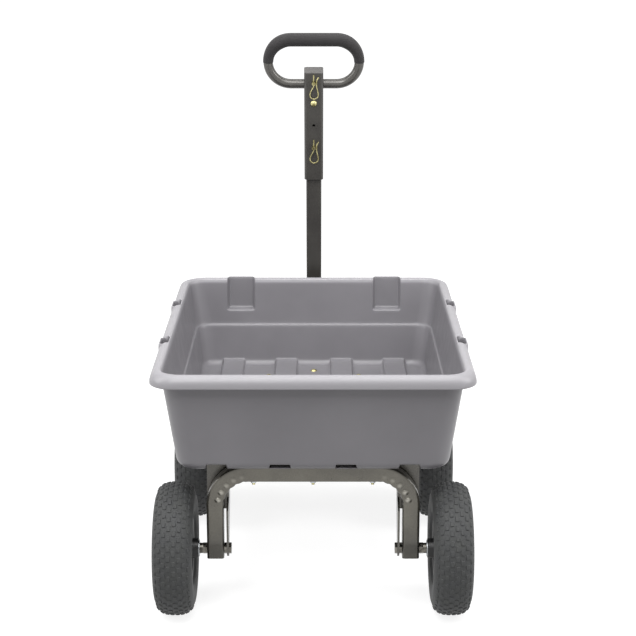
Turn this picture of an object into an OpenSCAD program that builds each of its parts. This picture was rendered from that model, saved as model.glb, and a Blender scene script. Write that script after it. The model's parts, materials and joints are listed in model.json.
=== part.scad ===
// Tipping dump cart: a moulded tray on a bent arch tips about the rear axle line.
// Two rails, a steered front axle and a fold-down pull handle carry it.
// Millimetres, +Z up, the cart's front towards +Y, the floor at z = 0.

/* [Wheels] */
// Outside diameter of the tyres
tyre_d = 330; // [310:1:345]
// Section width of the tyres
tyre_w = 100; // [90:1:106]
// Casing thickness of the tyres
tyre_wall = 9; // [6:0.5:12]
// Tread thickness at the crown of the tyres
tread_t = 15; // [11:0.5:20]
// Diameter of the rims at the bead seats
rim_d = 152; // [140:1:164]
// Width of the rims over their flanges
rim_w = 78; // [72:1:80]
// Sheet thickness of the rims
rim_sheet = 3; // [2:0.5:4]
// Outside diameter of the hubs
hub_d = 50; // [46:1:56]
// Reach of the hubs towards the cart, from the middle of the wheel
hub_inner_reach = 59; // [55:1:62]
// Reach of the hubs away from the cart
hub_outer_reach = 30; // [26:1:33]
// Diameter of the axle bolts
axle_d = 16; // [13:0.5:18]
// Distance between the middles of a pair of tyres
track = 680; // [676:1:720]
// Distance between the front and rear axles
wheelbase = 662; // [640:1:690]

/* [Tray] */
// Width of the tray over its rim
tray_w = 781; // [740:1:820]
// Length of the tray over its rim
tray_l = 1029; // [1000:1:1040]
// Height of the tray from its underside to the crest of its rim
tray_h = 254.5; // [225:0.5:275]
// Height of the tray's underside above the floor
tray_z = 387; // [378:1:410]
// Reach of the rim behind the rear axle
tray_overhang = 115; // [105:1:125]
// Wall thickness of the moulding
tray_wall = 5; // [4:0.5:6]
// Width of the rolled rim outside the wall
rim_lip = 24; // [23:0.5:44]
// Height of the rim's outer skirt
rim_drop = 32; // [24:1:40]
// Rounding of the rim's upper edge
rim_round = 11; // [8:0.5:14]
// Corner radius of the rim, seen from above
rim_corner = 62; // [50:1:80]
// Depth of the step in the inner wall below the rim
step_drop = 134; // [110:1:160]
// Width of the step in the inner wall
step_in = 5; // [3:0.5:8]
// Width of the channels under the floor
channel_w = 50; // [48:0.5:56]
// Height of the channels under the floor
channel_h = 12; // [10:0.5:18]
// Distance of the inner ribs from the middle
inner_rib_x = 80; // [70:1:95]
// Distance of the outer ribs and of the rails from the middle
outer_rib_x = 234; // [232:0.5:236]
// Depth of the stake pockets, across the rim
pocket_d = 23.5; // [13:0.5:30]
// Height of the stake pockets
pocket_h = 90; // [60:1:110]
// Height of the pockets' outer bosses above the tray's underside
boss_up = 27; // [20:1:60]
// Length of the side pockets
side_pocket_w = 56; // [40:1:70]
// Length of the front pockets
front_pocket_w = 74; // [50:1:80]
// Distance of the rear side pockets from the rear of the rim
side_pocket_back = 337; // [300:1:370]
// Distance between the two pockets of a side
side_pocket_gap = 382; // [340:1:420]
// Distance of the front pockets from the middle
front_pocket_x = 213; // [180:1:230]

/* [Arch] */
// Side of the arch's square tube
arch_tube = 42; // [38:0.5:44]
// Wall thickness of the arch's tube
arch_wall = 3; // [2:0.5:4]
// Edge radius of the arch's tube
arch_edge = 6; // [5:0.5:8]
// Width of the arch over its legs
arch_w = 524; // [520:1:526]
// Bend radius of the arch, to the middle of the tube
arch_bend = 85; // [50:1:92]
// Reach of the arch's legs below the axle
arch_foot = 20; // [16:0.5:28]
// Distance between the arch bolts
arch_bolt_pitch = 146; // [130:1:160]
// Diameter of the tray's bolts
tray_bolt_d = 8; // [6:0.5:10]

/* [Frame] */
// Width of the rails
rail_w = 45; // [42:0.5:46]
// Height of the rails
rail_h = 50; // [44:1:54]
// Wall thickness of the frame's tubes
frame_wall = 3; // [2:0.5:4]
// Thickness of the axle brackets' plates
cheek_t = 5; // [4:0.5:6]
// Length of the front crossmember along the cart
cross_l = 60; // [56:1:70]
// Height of the crossmembers
cross_h = 42; // [38:1:46]
// Distance of the rear crossmember from the rear axle
tie_y = 330; // [250:1:420]
// Diameter of the kingpin
kingpin_d = 25; // [20:0.5:28]
// Outside diameter of the steering head
head_d = 46; // [44:0.5:50]

/* [Steering] */
// Side of the front axle beam and of the tongue
beam = 40; // [36:0.5:44]
// Distance of the handle pivot from the front axle
pivot_reach = 410; // [400:1:430]
// Height of the handle pivot above the floor
pivot_z = 190; // [180:1:200]
// Thickness of the clevis plates
clevis_t = 6; // [4:0.5:8]
// Diameter of the handle's pivot bolt
pivot_d = 16; // [12:0.5:18]

/* [Handle] */
// Lean of the stored handle towards the tray, in degrees
lean = 12; // [10:0.5:14]
// Side of the handle's square shaft
shaft = 44; // [40:0.5:46]
// Wall thickness of the handle's tubes
shaft_wall = 3; // [2:0.5:4]
// Side of the sleeve round the shaft
sleeve = 54; // [52:0.5:58]
// Distance of the sleeve's lower end from the pivot
sleeve_up = 765; // [730:1:780]
// Length of the sleeve
sleeve_l = 318; // [310:1:340]
// Height of the cap on the sleeve
cap_h = 2.5; // [2:0.5:24]
// Distance of the lower hitch pin from the pivot
lower_pin_up = 866; // [835:1:875]
// Distance of the tow pin hole from the pivot
tow_up = 930; // [905:1:940]
// Distance of the sleeve's bolt from the pivot
sleeve_bolt_up = 995; // [975:1:1000]
// Distance of the upper hitch pin from the pivot
upper_pin_up = 1058; // [1050:1:1062]
// Distance of the loop's lower ends from the pivot
bar_up = 1045; // [1040:1:1050]
// Diameter of the tow pin hole
tow_d = 8; // [6:0.5:14]
// Diameter of the hitch pins
hitch_d = 11; // [8:0.5:13]
// Width of the loop, to the middle of its tube
loop_w = 255; // [240:1:280]
// Height of the loop, to the middle of its tube
loop_h = 128; // [115:1:150]
// Diameter of the loop's tube
loop_d = 27; // [22:0.5:30]
// Diameter of the foam grip
grip_d = 38; // [34:0.5:42]
// Wire diameter of the spring clips
wire_d = 3; // [2.5:0.1:3.5]

/* [Latch] */
// Distance of the floor bolts' outer pair from the front axle
floor_bolt_y = 67; // [64:1:75]
// Distance of the front floor bolt from the outer pair
floor_bolt_step = 50; // [44:1:56]
// Distance of the outer floor bolts from the middle
floor_bolt_x = 129; // [118:1:140]
// Diameter of the strike bar
strike_d = 10; // [8:0.5:12]
// Swing of the latch from released to hooked, in degrees
latch_swing = 30; // [26:1:34]
// Thickness of the latch lever
latch_t = 16; // [12:0.5:20]
// Length of the latch lever's pull arm
latch_arm = 140; // [120:1:160]

/* [Hidden] */
$fn = 48;
hull_fn = 32;

// Shared clearances
gap = 0.3;
fit = 0.05;
seat = 0.02;
cut = 1;
sides = [-1, 1];

// Finishes
tray_grey = "#767478";
tube_grey = "#6e6d68";
shaft_grey = "#46433f";
rubber = "#3a3b3a";
black = "#1d1d1e";
zinc = "#b9bbbd";
yellow_zinc = "#b59a4c";
foam = "#4a4849";

// Places that several pieces share
axle_z = tyre_d / 2;
axle_r = axle_d / 2;
wheel_x = track / 2;
rim_z = tray_z + tray_h;
floor_z = tray_z + tray_wall;
tray_mid_y = tray_l / 2 - tray_overhang;
leg_x = arch_w / 2 - arch_tube / 2;
leg_in = leg_x - arch_tube / 2;
leg_out = leg_x + arch_tube / 2;
bar_z = tray_z - arch_tube / 2;
pivot_y = wheelbase + pivot_reach;
clevis_r = 22;
shaft_heel = 26;
front_reach = max(clevis_r, shaft / 2 * cos(lean) + shaft_heel * sin(lean));
rear_reach = max(tyre_d / 2, tray_overhang);
mid_y = (pivot_y + front_reach - rear_reach) / 2;

// Moves the rear axle back, so that the whole cart is centred on the origin
module placed() {
  translate([0, -mid_y, 0]) children();
}

// Shapes that repeat

// Rectangle with round corners
module rounded(w, h, r) {
  square([w - 2 * r, h], center = true);
  square([w, h - 2 * r], center = true);
  for (x = sides, y = sides) translate([x * (w / 2 - r), y * (h / 2 - r)]) circle(r = r);
}

// Section of a rectangular tube with round edges
module tube_section(w, h, r, wall) {
  difference() {
    rounded(w, h, r);
    rounded(w - 2 * wall, h - 2 * wall, max(r - wall, wall / 2));
  }
}

// Plate of thickness t from x, drawn as y and z
module side_plate(x, t) {
  translate([x, 0, 0]) rotate([90, 0, 90]) linear_extrude(t) children();
}

// Mirrors its children to the left where side is -1
module handed(side) {
  mirror([side < 0 ? 1 : 0, 0, 0]) children();
}

// Points the local +Z of its children outwards on one side of the cart
module outwards(side, y, z) {
  translate([0, y, z]) rotate([0, side * 90, 0]) children();
}

// Hexagon nut or bolt head of a given width over its flats
module hexagon(flats, t) {
  cylinder(d = flats / cos(30), h = t, $fn = 6);
}

module nut(flats, t, bore) {
  difference() {
    hexagon(flats, t);
    translate([0, 0, -cut]) cylinder(d = bore + 2 * seat, h = t + 2 * cut);
  }
}

module ring(outer, bore, t) {
  difference() {
    cylinder(d = outer, h = t);
    translate([0, 0, -cut]) cylinder(d = bore, h = t + 2 * cut);
  }
}

// Low dome of a carriage bolt
module dome(d, h) {
  r = (d * d / 4 + h * h) / (2 * h);
  rotate_extrude() intersection() {
    translate([0, h - r]) circle(r = r);
    square([d / 2, h]);
  }
}

// Wheels, drawn with +Z along the axle and away from the cart

tyre_mid_share = 0.47;
tyre_mid_r = rim_d / 2 + (tyre_d - rim_d) * tyre_mid_share / 2;
tyre_curve_share = 0.74;
tyre_start = 35;
tyre_end = 180 + tyre_start;
tyre_steps = 30;
rim_flange = 9;
rim_well = 16;
rim_seat_half = 22;
rim_well_half = 15;
bead_half = rim_w / 2 - rim_sheet - seat;
bead_t = 10;
bearing_d = 35;
bearing_l = 14;
flange_t = 2;
flange_d = 40;
valve_d = 8;
valve_l = 24;
valve_share = 0.55;
valve_z = rim_well_half * valve_share;

function power(v) = sign(v) * pow(abs(v), tyre_curve_share);
function tyre_point(half, crown, root, a) = [
  tyre_mid_r + (sin(a) > 0 ? crown - tyre_mid_r : tyre_mid_r - root) * power(sin(a)),
  half * power(cos(a))
];
function tyre_arc(half, crown, root, from, to) =
  [for (i = [0:tyre_steps]) tyre_point(half, crown, root, from + (to - from) * i / tyre_steps)];

module tyre() {
  color(rubber) rotate_extrude($fn = 96) polygon(concat(
    [[rim_d / 2 + seat, bead_half], [rim_d / 2 + rim_flange + gap, bead_half]],
    tyre_arc(tyre_w / 2, tyre_d / 2, rim_d / 2, -tyre_start, tyre_end),
    [[rim_d / 2 + rim_flange + gap, -bead_half], [rim_d / 2 + seat, -bead_half]],
    [[rim_d / 2 + seat, bead_t - bead_half]],
    tyre_arc(tyre_w / 2 - tyre_wall, tyre_d / 2 - tread_t, rim_d / 2, tyre_end, -tyre_start),
    [[rim_d / 2 + seat, bead_half - bead_t]]
  ));
}

module rim() {
  seat_r = rim_d / 2;
  well_r = seat_r - rim_well;
  half = rim_w / 2;
  color(black) difference() {
    union() {
      rotate_extrude($fn = 96) polygon([
        [seat_r + rim_flange, half], [seat_r + rim_flange, half - rim_sheet],
        [seat_r, half - rim_sheet], [seat_r, rim_seat_half],
        [well_r, rim_well_half], [well_r, -rim_well_half],
        [seat_r, -rim_seat_half], [seat_r, rim_sheet - half],
        [seat_r + rim_flange, rim_sheet - half], [seat_r + rim_flange, -half],
        [seat_r - rim_sheet, -half], [seat_r - rim_sheet, -rim_seat_half],
        [well_r - rim_sheet, -rim_well_half], [well_r - rim_sheet, rim_well_half],
        [seat_r - rim_sheet, rim_seat_half], [seat_r - rim_sheet, half]
      ]);
      translate([0, 0, -rim_sheet / 2]) cylinder(r = well_r - rim_sheet / 2, h = rim_sheet);
      translate([0, 0, flange_t - hub_inner_reach])
        cylinder(d = hub_d, h = hub_inner_reach + hub_outer_reach - 2 * flange_t);
    }
    translate([0, 0, -hub_inner_reach - cut])
      cylinder(d = bearing_d + 2 * seat, h = hub_inner_reach + hub_outer_reach + 2 * cut);
    translate([0, 0, valve_z]) rotate([0, 90, 0]) cylinder(d = valve_d + 2 * seat, h = well_r + cut);
  }
}

// Two flanged bearings, one in each end of the hub
module bearings() {
  color(zinc) for (end = sides) {
    reach = end > 0 ? hub_outer_reach : hub_inner_reach;
    translate([0, 0, end * reach]) rotate([end > 0 ? 180 : 0, 0, 0]) difference() {
      union() {
        cylinder(d = flange_d, h = flange_t);
        cylinder(d = bearing_d, h = bearing_l);
      }
      translate([0, 0, -cut]) cylinder(r = axle_r + fit, h = bearing_l + 2 * cut);
    }
  }
}

// Valve stem with its base inside the tyre, through the well of the rim
module valve() {
  base_t = rim_sheet;
  well_r = rim_d / 2 - rim_well;
  color(black) translate([0, 0, valve_z]) rotate([0, 90, 0]) {
    translate([0, 0, well_r + rim_sheet + seat - valve_l]) cylinder(d = valve_d, h = valve_l);
    translate([0, 0, well_r + seat]) cylinder(d = valve_d + 2 * base_t, h = base_t);
  }
}

module wheel_at(side, y) {
  placed() outwards(side, y, axle_z) translate([0, 0, wheel_x]) children();
}

// Tray

tub_draft_share = 0.127;
tub_corner = 52;
tub_edge = 24;
pocket_round = 9;
pocket_draft_share = 0.154;
sill_h = 5;
step_z = rim_z - step_drop;
pocket_z = rim_z - pocket_h;
top_half_w = tray_w / 2 - rim_lip;
top_half_l = tray_l / 2 - rim_lip;
floor_bolts_at = [
  [-floor_bolt_x, wheelbase + floor_bolt_y],
  [floor_bolt_x, wheelbase + floor_bolt_y],
  [0, wheelbase + floor_bolt_y + floor_bolt_step]
];
arch_bolts_at = [for (i = [-1:1]) [i * arch_bolt_pitch, 0]];
rib_places = [-outer_rib_x, -inner_rib_x, inner_rib_x, outer_rib_x];

function half_w(z) = top_half_w - tub_draft_share * (rim_z - z);
function half_l(z) = top_half_l - tub_draft_share * (rim_z - z);

// Drafted tub with a rounded lower edge, inset from the outside of the wall
module tub(inset, low, high, corner, edge) {
  hull() for (x = sides, y = sides) {
    translate([x * (half_w(low) - inset - corner), y * (half_l(low) - inset - corner), low + edge])
      rotate_extrude($fn = hull_fn) translate([corner - edge, 0]) circle(r = edge, $fn = hull_fn / 2);
    translate([x * (half_w(high) - inset - corner), y * (half_l(high) - inset - corner), high - cut])
      cylinder(r = corner, h = cut, $fn = hull_fn);
  }
}

// Block with the rim's outline
module rim_block(inset, low, high, edge) {
  corner = rim_corner - inset;
  hull() for (x = sides, y = sides)
    translate([x * (tray_w / 2 - rim_corner), y * (tray_l / 2 - rim_corner), 0]) {
      translate([0, 0, low]) cylinder(r = corner, h = cut, $fn = hull_fn);
      translate([0, 0, high - edge]) rotate_extrude($fn = hull_fn)
        translate([corner - edge, 0]) circle(r = edge, $fn = hull_fn / 2);
    }
}

// Tapered block of a stake pocket, round at its outer corners and grown by an inset, +X out of the tray
module pocket(w, inset, low, high, inner_low, inner_high) {
  half = w / 2 + inset - pocket_round;
  outer = pocket_d + inset - pocket_round;
  taper = pocket_draft_share * (high - low);
  hull() {
    for (y = sides) {
      translate([outer, y * half, high - cut]) cylinder(r = pocket_round, h = cut, $fn = hull_fn / 2);
      translate([outer - taper, y * half, low]) cylinder(r = pocket_round, h = cut, $fn = hull_fn / 2);
    }
    for (edge = [[inner_low, low], [inner_high, high - cut]])
      translate([edge.x, -half - pocket_round, edge.y]) cube([cut, 2 * (half + pocket_round), cut]);
  }
}

// All six stake pockets: the four in the sides keep the tray's wall, the two in the front open into the tray
module pockets(inset, low, high, wall_kept) {
  rear = side_pocket_back - tray_l / 2;
  inside = -tub_draft_share * (rim_z - low) - tray_wall - step_in;
  side_low = wall_kept ? tray_wall - tub_draft_share * (rim_z - low) : inside;
  side_high = wall_kept ? tray_wall : inside;
  for (side = sides, y = [rear, rear + side_pocket_gap])
    translate([side * (top_half_w - tray_wall), y, 0]) rotate([0, 0, side > 0 ? 0 : 180])
      pocket(side_pocket_w, inset, low, high, side_low, side_high);
  for (side = sides)
    translate([side * front_pocket_x, top_half_l - tray_wall, 0]) rotate([0, 0, 90])
      pocket(front_pocket_w, inset, low, high, inside, inside);
}

// Raised rib over a channel, with sloping sides
module rib(low_w, top_w, h) {
  hull() {
    translate([-low_w / 2, -tray_l / 2, 0]) cube([low_w, tray_l, tray_wall]);
    translate([-top_w / 2, -tray_l / 2, 0]) cube([top_w, tray_l, h]);
  }
}

module tray() {
  rib_w = channel_w + 2 * tray_wall;
  foot_w = rib_w + tray_wall;
  color(tray_grey) placed() difference() {
    translate([0, tray_mid_y, 0]) difference() {
      union() {
        difference() {
          union() {
            difference() {
              rim_block(0, rim_z - rim_drop, rim_z, rim_round);
              rim_block(tray_wall, rim_z - rim_drop - cut, rim_z - tray_wall, rim_round - tray_wall);
            }
            tub(0, tray_z, rim_z - tray_wall, tub_corner, tub_edge);
            pockets(tray_wall, tray_z + boss_up, rim_z - tray_wall, false);
          }
          tub(tray_wall, step_z, rim_z + cut, tub_corner - tray_wall, tray_wall);
          tub(tray_wall + step_in, floor_z, step_z + 2 * tray_wall, tub_corner - tray_wall,
            tub_edge - tray_wall);
          pockets(0, pocket_z, rim_z + cut, true);
        }
        intersection() {
          for (x = rib_places) translate([x, 0, tray_z]) rib(foot_w, rib_w, channel_h + tray_wall);
          tub(0, tray_z, rim_z - tray_wall, tub_corner, tub_edge);
        }
      }
      for (x = rib_places) {
        sill = abs(x) < outer_rib_x ? sill_h : -cut;
        flat_half = half_l(tray_z) - tub_edge;
        translate([x - channel_w / 2, -tray_l / 2, tray_z + sill])
          cube([channel_w, tray_l, channel_h - sill]);
        translate([x - channel_w / 2, -flat_half, tray_z - cut])
          cube([channel_w, 2 * flat_half, channel_h + cut]);
      }
    }
    for (p = concat(floor_bolts_at, arch_bolts_at))
      translate([p.x, p.y, tray_z - cut]) cylinder(d = tray_bolt_d + 2 * seat, h = tray_wall + 2 * cut);
  }
}

// Arch

bush_wall = 3;
bush_d = axle_d + 2 * bush_wall;

module arch_profile() {
  tube_section(arch_tube, arch_tube, arch_edge, arch_wall);
}

module arch() {
  bend_x = leg_x - arch_bend;
  bend_z = bar_z - arch_bend;
  foot_z = axle_z - arch_foot;
  color(tube_grey) placed() difference() {
    union() {
      for (side = sides) handed(side) {
        translate([leg_x, 0, foot_z]) linear_extrude(bend_z - foot_z) arch_profile();
        translate([bend_x, 0, bend_z]) rotate([90, 0, 0])
          rotate_extrude(angle = 90) translate([arch_bend, 0]) arch_profile();
      }
      translate([-bend_x, 0, bar_z]) rotate([90, 0, 90]) linear_extrude(2 * bend_x) arch_profile();
    }
    for (side = sides) outwards(side, 0, axle_z) translate([0, 0, leg_in - cut])
      cylinder(d = bush_d + 2 * seat, h = arch_tube + 2 * cut);
    for (p = arch_bolts_at) translate([p.x, p.y, bar_z - arch_tube])
      cylinder(d = tray_bolt_d + 2 * seat, h = 2 * arch_tube);
  }
}

module leg_bushes() {
  color(zinc) placed() for (side = sides) outwards(side, 0, axle_z) translate([0, 0, leg_in])
    ring(bush_d, axle_d + 2 * fit, arch_tube);
}

// Tray fasteners

head_share = 2.4;
nut_flats_share = 1.6;
bolt_head_d = tray_bolt_d * head_share;
bolt_head_h = 5;
tray_nut_t = 7;
bolt_tail = 5;
striker_t = 4;

// Carriage bolts whose shanks end below a face at height z
module carriage_bolts(places, z) {
  for (p = places) translate([p.x, p.y, 0]) {
    translate([0, 0, floor_z]) dome(bolt_head_d, bolt_head_h);
    translate([0, 0, z - tray_nut_t - bolt_tail])
      cylinder(d = tray_bolt_d, h = floor_z - z + tray_nut_t + bolt_tail);
  }
}

module nuts_under(places, z) {
  for (p = places) translate([p.x, p.y, z - tray_nut_t])
    nut(tray_bolt_d * nut_flats_share, tray_nut_t, tray_bolt_d);
}

module arch_bolts() {
  color(yellow_zinc) placed() carriage_bolts(arch_bolts_at, tray_z - arch_tube);
}

module arch_nuts() {
  color(zinc) placed() nuts_under(arch_bolts_at, tray_z - arch_tube);
}

module floor_bolts() {
  color(yellow_zinc) placed() carriage_bolts(floor_bolts_at, tray_z - striker_t);
}

module floor_nuts() {
  color(zinc) placed() nuts_under(floor_bolts_at, tray_z - striker_t);
}

// Latch

strike_ahead = 53;
strike_below = 32;
strike_y = wheelbase + cross_l / 2 + strike_ahead;
strike_z = tray_z - strike_below;
ear_x = 30;
ear_t = 5;
ear_half = 12;
striker_margin = 20;
latch_reach = 25;
latch_rise = 27;
latch_pivot_y = strike_y - latch_reach;
latch_pivot_z = strike_z - latch_rise;
latch_pivot_d = 10;
lug_t = 5;
hook_t = 12;
hook_room = 1;
nose_room = 1.5;
nose_sweep = 12;
nose_steps = 6;
arm_t = 14;
latch_round = 14;

module striker() {
  near = min(wheelbase + floor_bolt_y, strike_y - ear_half) - striker_margin;
  far = wheelbase + floor_bolt_y + floor_bolt_step + striker_margin;
  half = floor_bolt_x + striker_margin;
  color(tube_grey) placed() difference() {
    union() {
      translate([-half, near, tray_z - striker_t]) cube([2 * half, far - near, striker_t]);
      for (side = sides) side_plate(side * ear_x - ear_t / 2, ear_t) {
        translate([strike_y, strike_z]) circle(r = ear_half);
        translate([strike_y - ear_half, strike_z]) square([2 * ear_half, tray_z - striker_t - strike_z]);
      }
      translate([-ear_x, strike_y, strike_z]) rotate([0, 90, 0]) cylinder(d = strike_d, h = 2 * ear_x);
    }
    for (p = floor_bolts_at) translate([p.x, p.y, tray_z - 2 * striker_t])
      cylinder(d = tray_bolt_d + 2 * seat, h = 3 * striker_t);
  }
}

// Lever drawn hooked, with its pivot at 0, then swung forward to its released rest.
// The nose is an arc about the pivot, so that it passes over the strike bar without touching it.
module latch_lever() {
  hook_y = latch_reach + strike_d / 2 + hook_room;
  nose_r = norm([latch_reach, latch_rise]) + strike_d / 2 + nose_room;
  back_r = nose_r + hook_t;
  tip = atan2(latch_rise, latch_reach) + nose_sweep;
  front = acos((hook_y + hook_t) / back_r);
  throat = acos(hook_y / nose_r);
  back = [for (i = [0:nose_steps]) let(a = front + (tip - front) * i / nose_steps) back_r * [cos(a), sin(a)]];
  nose = [for (i = [0:nose_steps]) let(a = tip + (throat - tip) * i / nose_steps) nose_r * [cos(a), sin(a)]];
  color(shaft_grey) placed() translate([0, latch_pivot_y, latch_pivot_z]) rotate([-latch_swing, 0, 0])
    difference() {
      side_plate(-latch_t / 2, latch_t) {
        circle(r = latch_round);
        translate([0, -arm_t / 2]) square([latch_arm, arm_t]);
        polygon(concat([[hook_y, 0], [hook_y + hook_t, 0]], back, nose));
        translate([latch_arm, 0]) circle(r = latch_round);
      }
      translate([-latch_t, 0, 0]) rotate([0, 90, 0]) cylinder(d = latch_pivot_d + 2 * fit, h = 2 * latch_t);
    }
}

module latch_pivot_bolt() {
  half = latch_t / 2 + gap + lug_t;
  flats = latch_pivot_d * nut_flats_share;
  color(zinc) placed() translate([-half, latch_pivot_y, latch_pivot_z]) rotate([0, 90, 0]) {
    translate([0, 0, -lug_t]) hexagon(flats, lug_t);
    cylinder(d = latch_pivot_d, h = 2 * half);
    translate([0, 0, 2 * half]) hexagon(flats, lug_t);
  }
}

// Frame

rail_top = tray_z + channel_h - gap;
rail_low = rail_top - rail_h;
rail_edge = 6;
rail_clear = 3;
rail_tail = 20;
rail_back = arch_tube / 2 + rail_clear;
rail_front = wheelbase + cross_l / 2 + rail_tail;
jam_t = 6.5;
cheek_out = leg_in - gap - jam_t;
cheek_in = cheek_out - cheek_t;
bracket_clear = 4;
bracket_top = tray_z - bracket_clear;
lug_r = 20;
lug_rise = 105;
relief_rise = 126;
web_rise = 95;
web_low = axle_z + web_rise;
flange_reach = 45;
gusset_reach = 80;
axle_head_t = 6;

// Rail on one side, with the bracket that hangs from its end to the axle bolt
module rail(side) {
  color(tube_grey) placed() handed(side) difference() {
    union() {
      translate([outer_rib_x, rail_back, rail_low + rail_h / 2]) rotate([-90, 0, 0])
        linear_extrude(rail_front - rail_back) tube_section(rail_w, rail_h, rail_edge, frame_wall);
      translate([cheek_in, rail_back, web_low]) cube([leg_out - cheek_in, cheek_t, bracket_top - web_low]);
      side_plate(leg_out - cheek_t, cheek_t) polygon([
        [rail_back, web_low], [rail_back, bracket_top],
        [rail_back + flange_reach, bracket_top], [rail_back + flange_reach, rail_low]
      ]);
      side_plate(cheek_in, cheek_t) {
        translate([0, axle_z]) circle(r = lug_r);
        polygon([
          [-lug_r, axle_z], [-lug_r, axle_z + lug_rise], [rail_back, axle_z + relief_rise],
          [rail_back, bracket_top], [rail_back + gusset_reach, bracket_top],
          [rail_back + gusset_reach, rail_low], [lug_r, axle_z]
        ]);
      }
    }
    outwards(1, 0, axle_z) cylinder(r = axle_r + seat, h = leg_in);
  }
}

cross_top = tray_z - gap;
cross_low = cross_top - cross_h;
cross_edge = 5;
cross_half = outer_rib_x - rail_w / 2;

module front_crossmember() {
  lug_reach = latch_pivot_y + ear_half;
  lug_root = wheelbase + cross_l / 2 - frame_wall / 2;
  color(tube_grey) placed() difference() {
    union() {
      translate([-cross_half, wheelbase, cross_low + cross_h / 2]) rotate([90, 0, 90])
        linear_extrude(2 * cross_half) tube_section(cross_l, cross_h, cross_edge, frame_wall);
      for (side = sides)
        side_plate(side * (latch_t / 2 + gap + lug_t / 2) - lug_t / 2, lug_t) {
          translate([latch_pivot_y, latch_pivot_z]) circle(r = ear_half);
          polygon([
            [lug_root, cross_low + cross_edge], [lug_root, cross_low + cross_h / 2],
            [lug_reach, latch_pivot_z], [latch_pivot_y, latch_pivot_z - ear_half]
          ]);
        }
    }
    translate([0, wheelbase, cross_low - cut]) cylinder(d = head_d + 2 * seat, h = cross_h + 2 * cut);
    translate([-latch_t, latch_pivot_y, latch_pivot_z]) rotate([0, 90, 0])
      cylinder(d = latch_pivot_d + 2 * seat, h = 2 * latch_t);
  }
}

module rear_crossmember() {
  color(tube_grey) placed() translate([-cross_half, tie_y, cross_low + cross_h / 2]) rotate([90, 0, 90])
    linear_extrude(2 * cross_half) tube_section(cross_h, cross_h, cross_edge, frame_wall);
}

// Steering head, front axle and tongue

beam_top = axle_z + beam / 2;
beam_edge = 5;
collar_t = 10;
collar_d = 60;
washer_t = 4;
head_bush_wall = 4;
head_bush_d = kingpin_d + 2 * head_bush_wall;
head_bush_l = 20;
head_low = beam_top + collar_t + washer_t + gap + flange_t;
head_rise = 7;
head_top = cross_low + head_rise;
kingpin_nut_t = 14;
kingpin_flats_share = 1.44;
kingpin_tail = 4;
kingpin_nut_z = head_top + flange_t + gap;

module steering_head() {
  color(tube_grey) placed() translate([0, wheelbase, head_low])
    ring(head_d, head_bush_d + 2 * seat, head_top - head_low);
}

module head_bushes() {
  color(zinc) placed() for (end = sides)
    translate([0, wheelbase, end > 0 ? head_top + flange_t : head_low - flange_t])
      rotate([end > 0 ? 180 : 0, 0, 0]) difference() {
        union() {
          cylinder(d = head_d - 2 * seat, h = flange_t);
          cylinder(d = head_bush_d, h = head_bush_l);
        }
        translate([0, 0, -cut]) cylinder(d = kingpin_d + 2 * fit, h = head_bush_l + 2 * cut);
      }
}

module kingpin() {
  color(zinc) placed() translate([0, wheelbase, beam_top]) {
    cylinder(d = collar_d, h = collar_t);
    cylinder(d = kingpin_d, h = kingpin_nut_z + kingpin_nut_t + kingpin_tail - beam_top);
  }
}

module kingpin_nut() {
  color(zinc) placed() translate([0, wheelbase, kingpin_nut_z])
    nut(kingpin_d * kingpin_flats_share, kingpin_nut_t, kingpin_d);
}

module thrust_washer() {
  color(black) placed() translate([0, wheelbase, beam_top + collar_t])
    ring(collar_d, kingpin_d + 2 * seat, washer_t);
}

end_plate_t = 5;
axle_nut_t = 11;
axle_washer_t = 3;
axle_tail = 2;
axle_flats = axle_d * nut_flats_share;
hub_in_x = wheel_x - hub_inner_reach;
hub_out_x = wheel_x + hub_outer_reach;
axle_end = hub_out_x + gap + axle_washer_t + axle_nut_t + axle_tail;
spacer_wall = 5;
spacer_d = axle_d + 2 * spacer_wall;
front_spacer_l = 18.7;
beam_half = hub_in_x - gap - front_spacer_l;
rear_nut_t = 10;

module front_axle_beam() {
  color(tube_grey) placed() translate([0, wheelbase, axle_z]) difference() {
    union() {
      translate([-beam_half, 0, 0]) rotate([90, 0, 90])
        linear_extrude(2 * beam_half) tube_section(beam, beam, beam_edge, frame_wall);
      for (side = sides) translate([side * (beam_half - end_plate_t / 2), 0, 0])
        cube([end_plate_t, beam - beam_edge, beam - beam_edge], center = true);
    }
    rotate([0, 90, 0]) translate([0, 0, -beam_half - cut])
      cylinder(d = axle_d + 2 * seat, h = 2 * (beam_half + cut));
  }
}

// Axle bolt from its head outwards
module axle_bolt(side, y, head_x) {
  outwards(side, y, axle_z) {
    translate([0, 0, head_x - axle_head_t]) hexagon(axle_flats, axle_head_t);
    translate([0, 0, head_x]) cylinder(r = axle_r, h = axle_end - head_x);
  }
}

// Washer and nut on the outer end of an axle bolt
module end_nut(side, y) {
  outwards(side, y, axle_z) translate([0, 0, hub_out_x + gap]) {
    ring(flange_d, axle_d + 2 * seat, axle_washer_t);
    translate([0, 0, axle_washer_t]) nut(axle_flats, axle_nut_t, axle_d);
  }
}

module spacer(side, y, from) {
  outwards(side, y, axle_z) translate([0, 0, from])
    ring(spacer_d, axle_d + 2 * seat, hub_in_x - gap - from);
}

module rear_axle_bolts() {
  color(zinc) placed() for (side = sides) axle_bolt(side, 0, cheek_in);
}

module rear_axle_nuts() {
  color(zinc) placed() for (side = sides) {
    outwards(side, 0, axle_z) {
      translate([0, 0, cheek_out]) nut(axle_flats, jam_t, axle_d);
      translate([0, 0, leg_out + gap]) nut(axle_flats, rear_nut_t, axle_d);
    }
    end_nut(side, 0);
  }
}

module rear_spacers() {
  color(zinc) placed() for (side = sides) spacer(side, 0, leg_out + gap + rear_nut_t);
}

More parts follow.
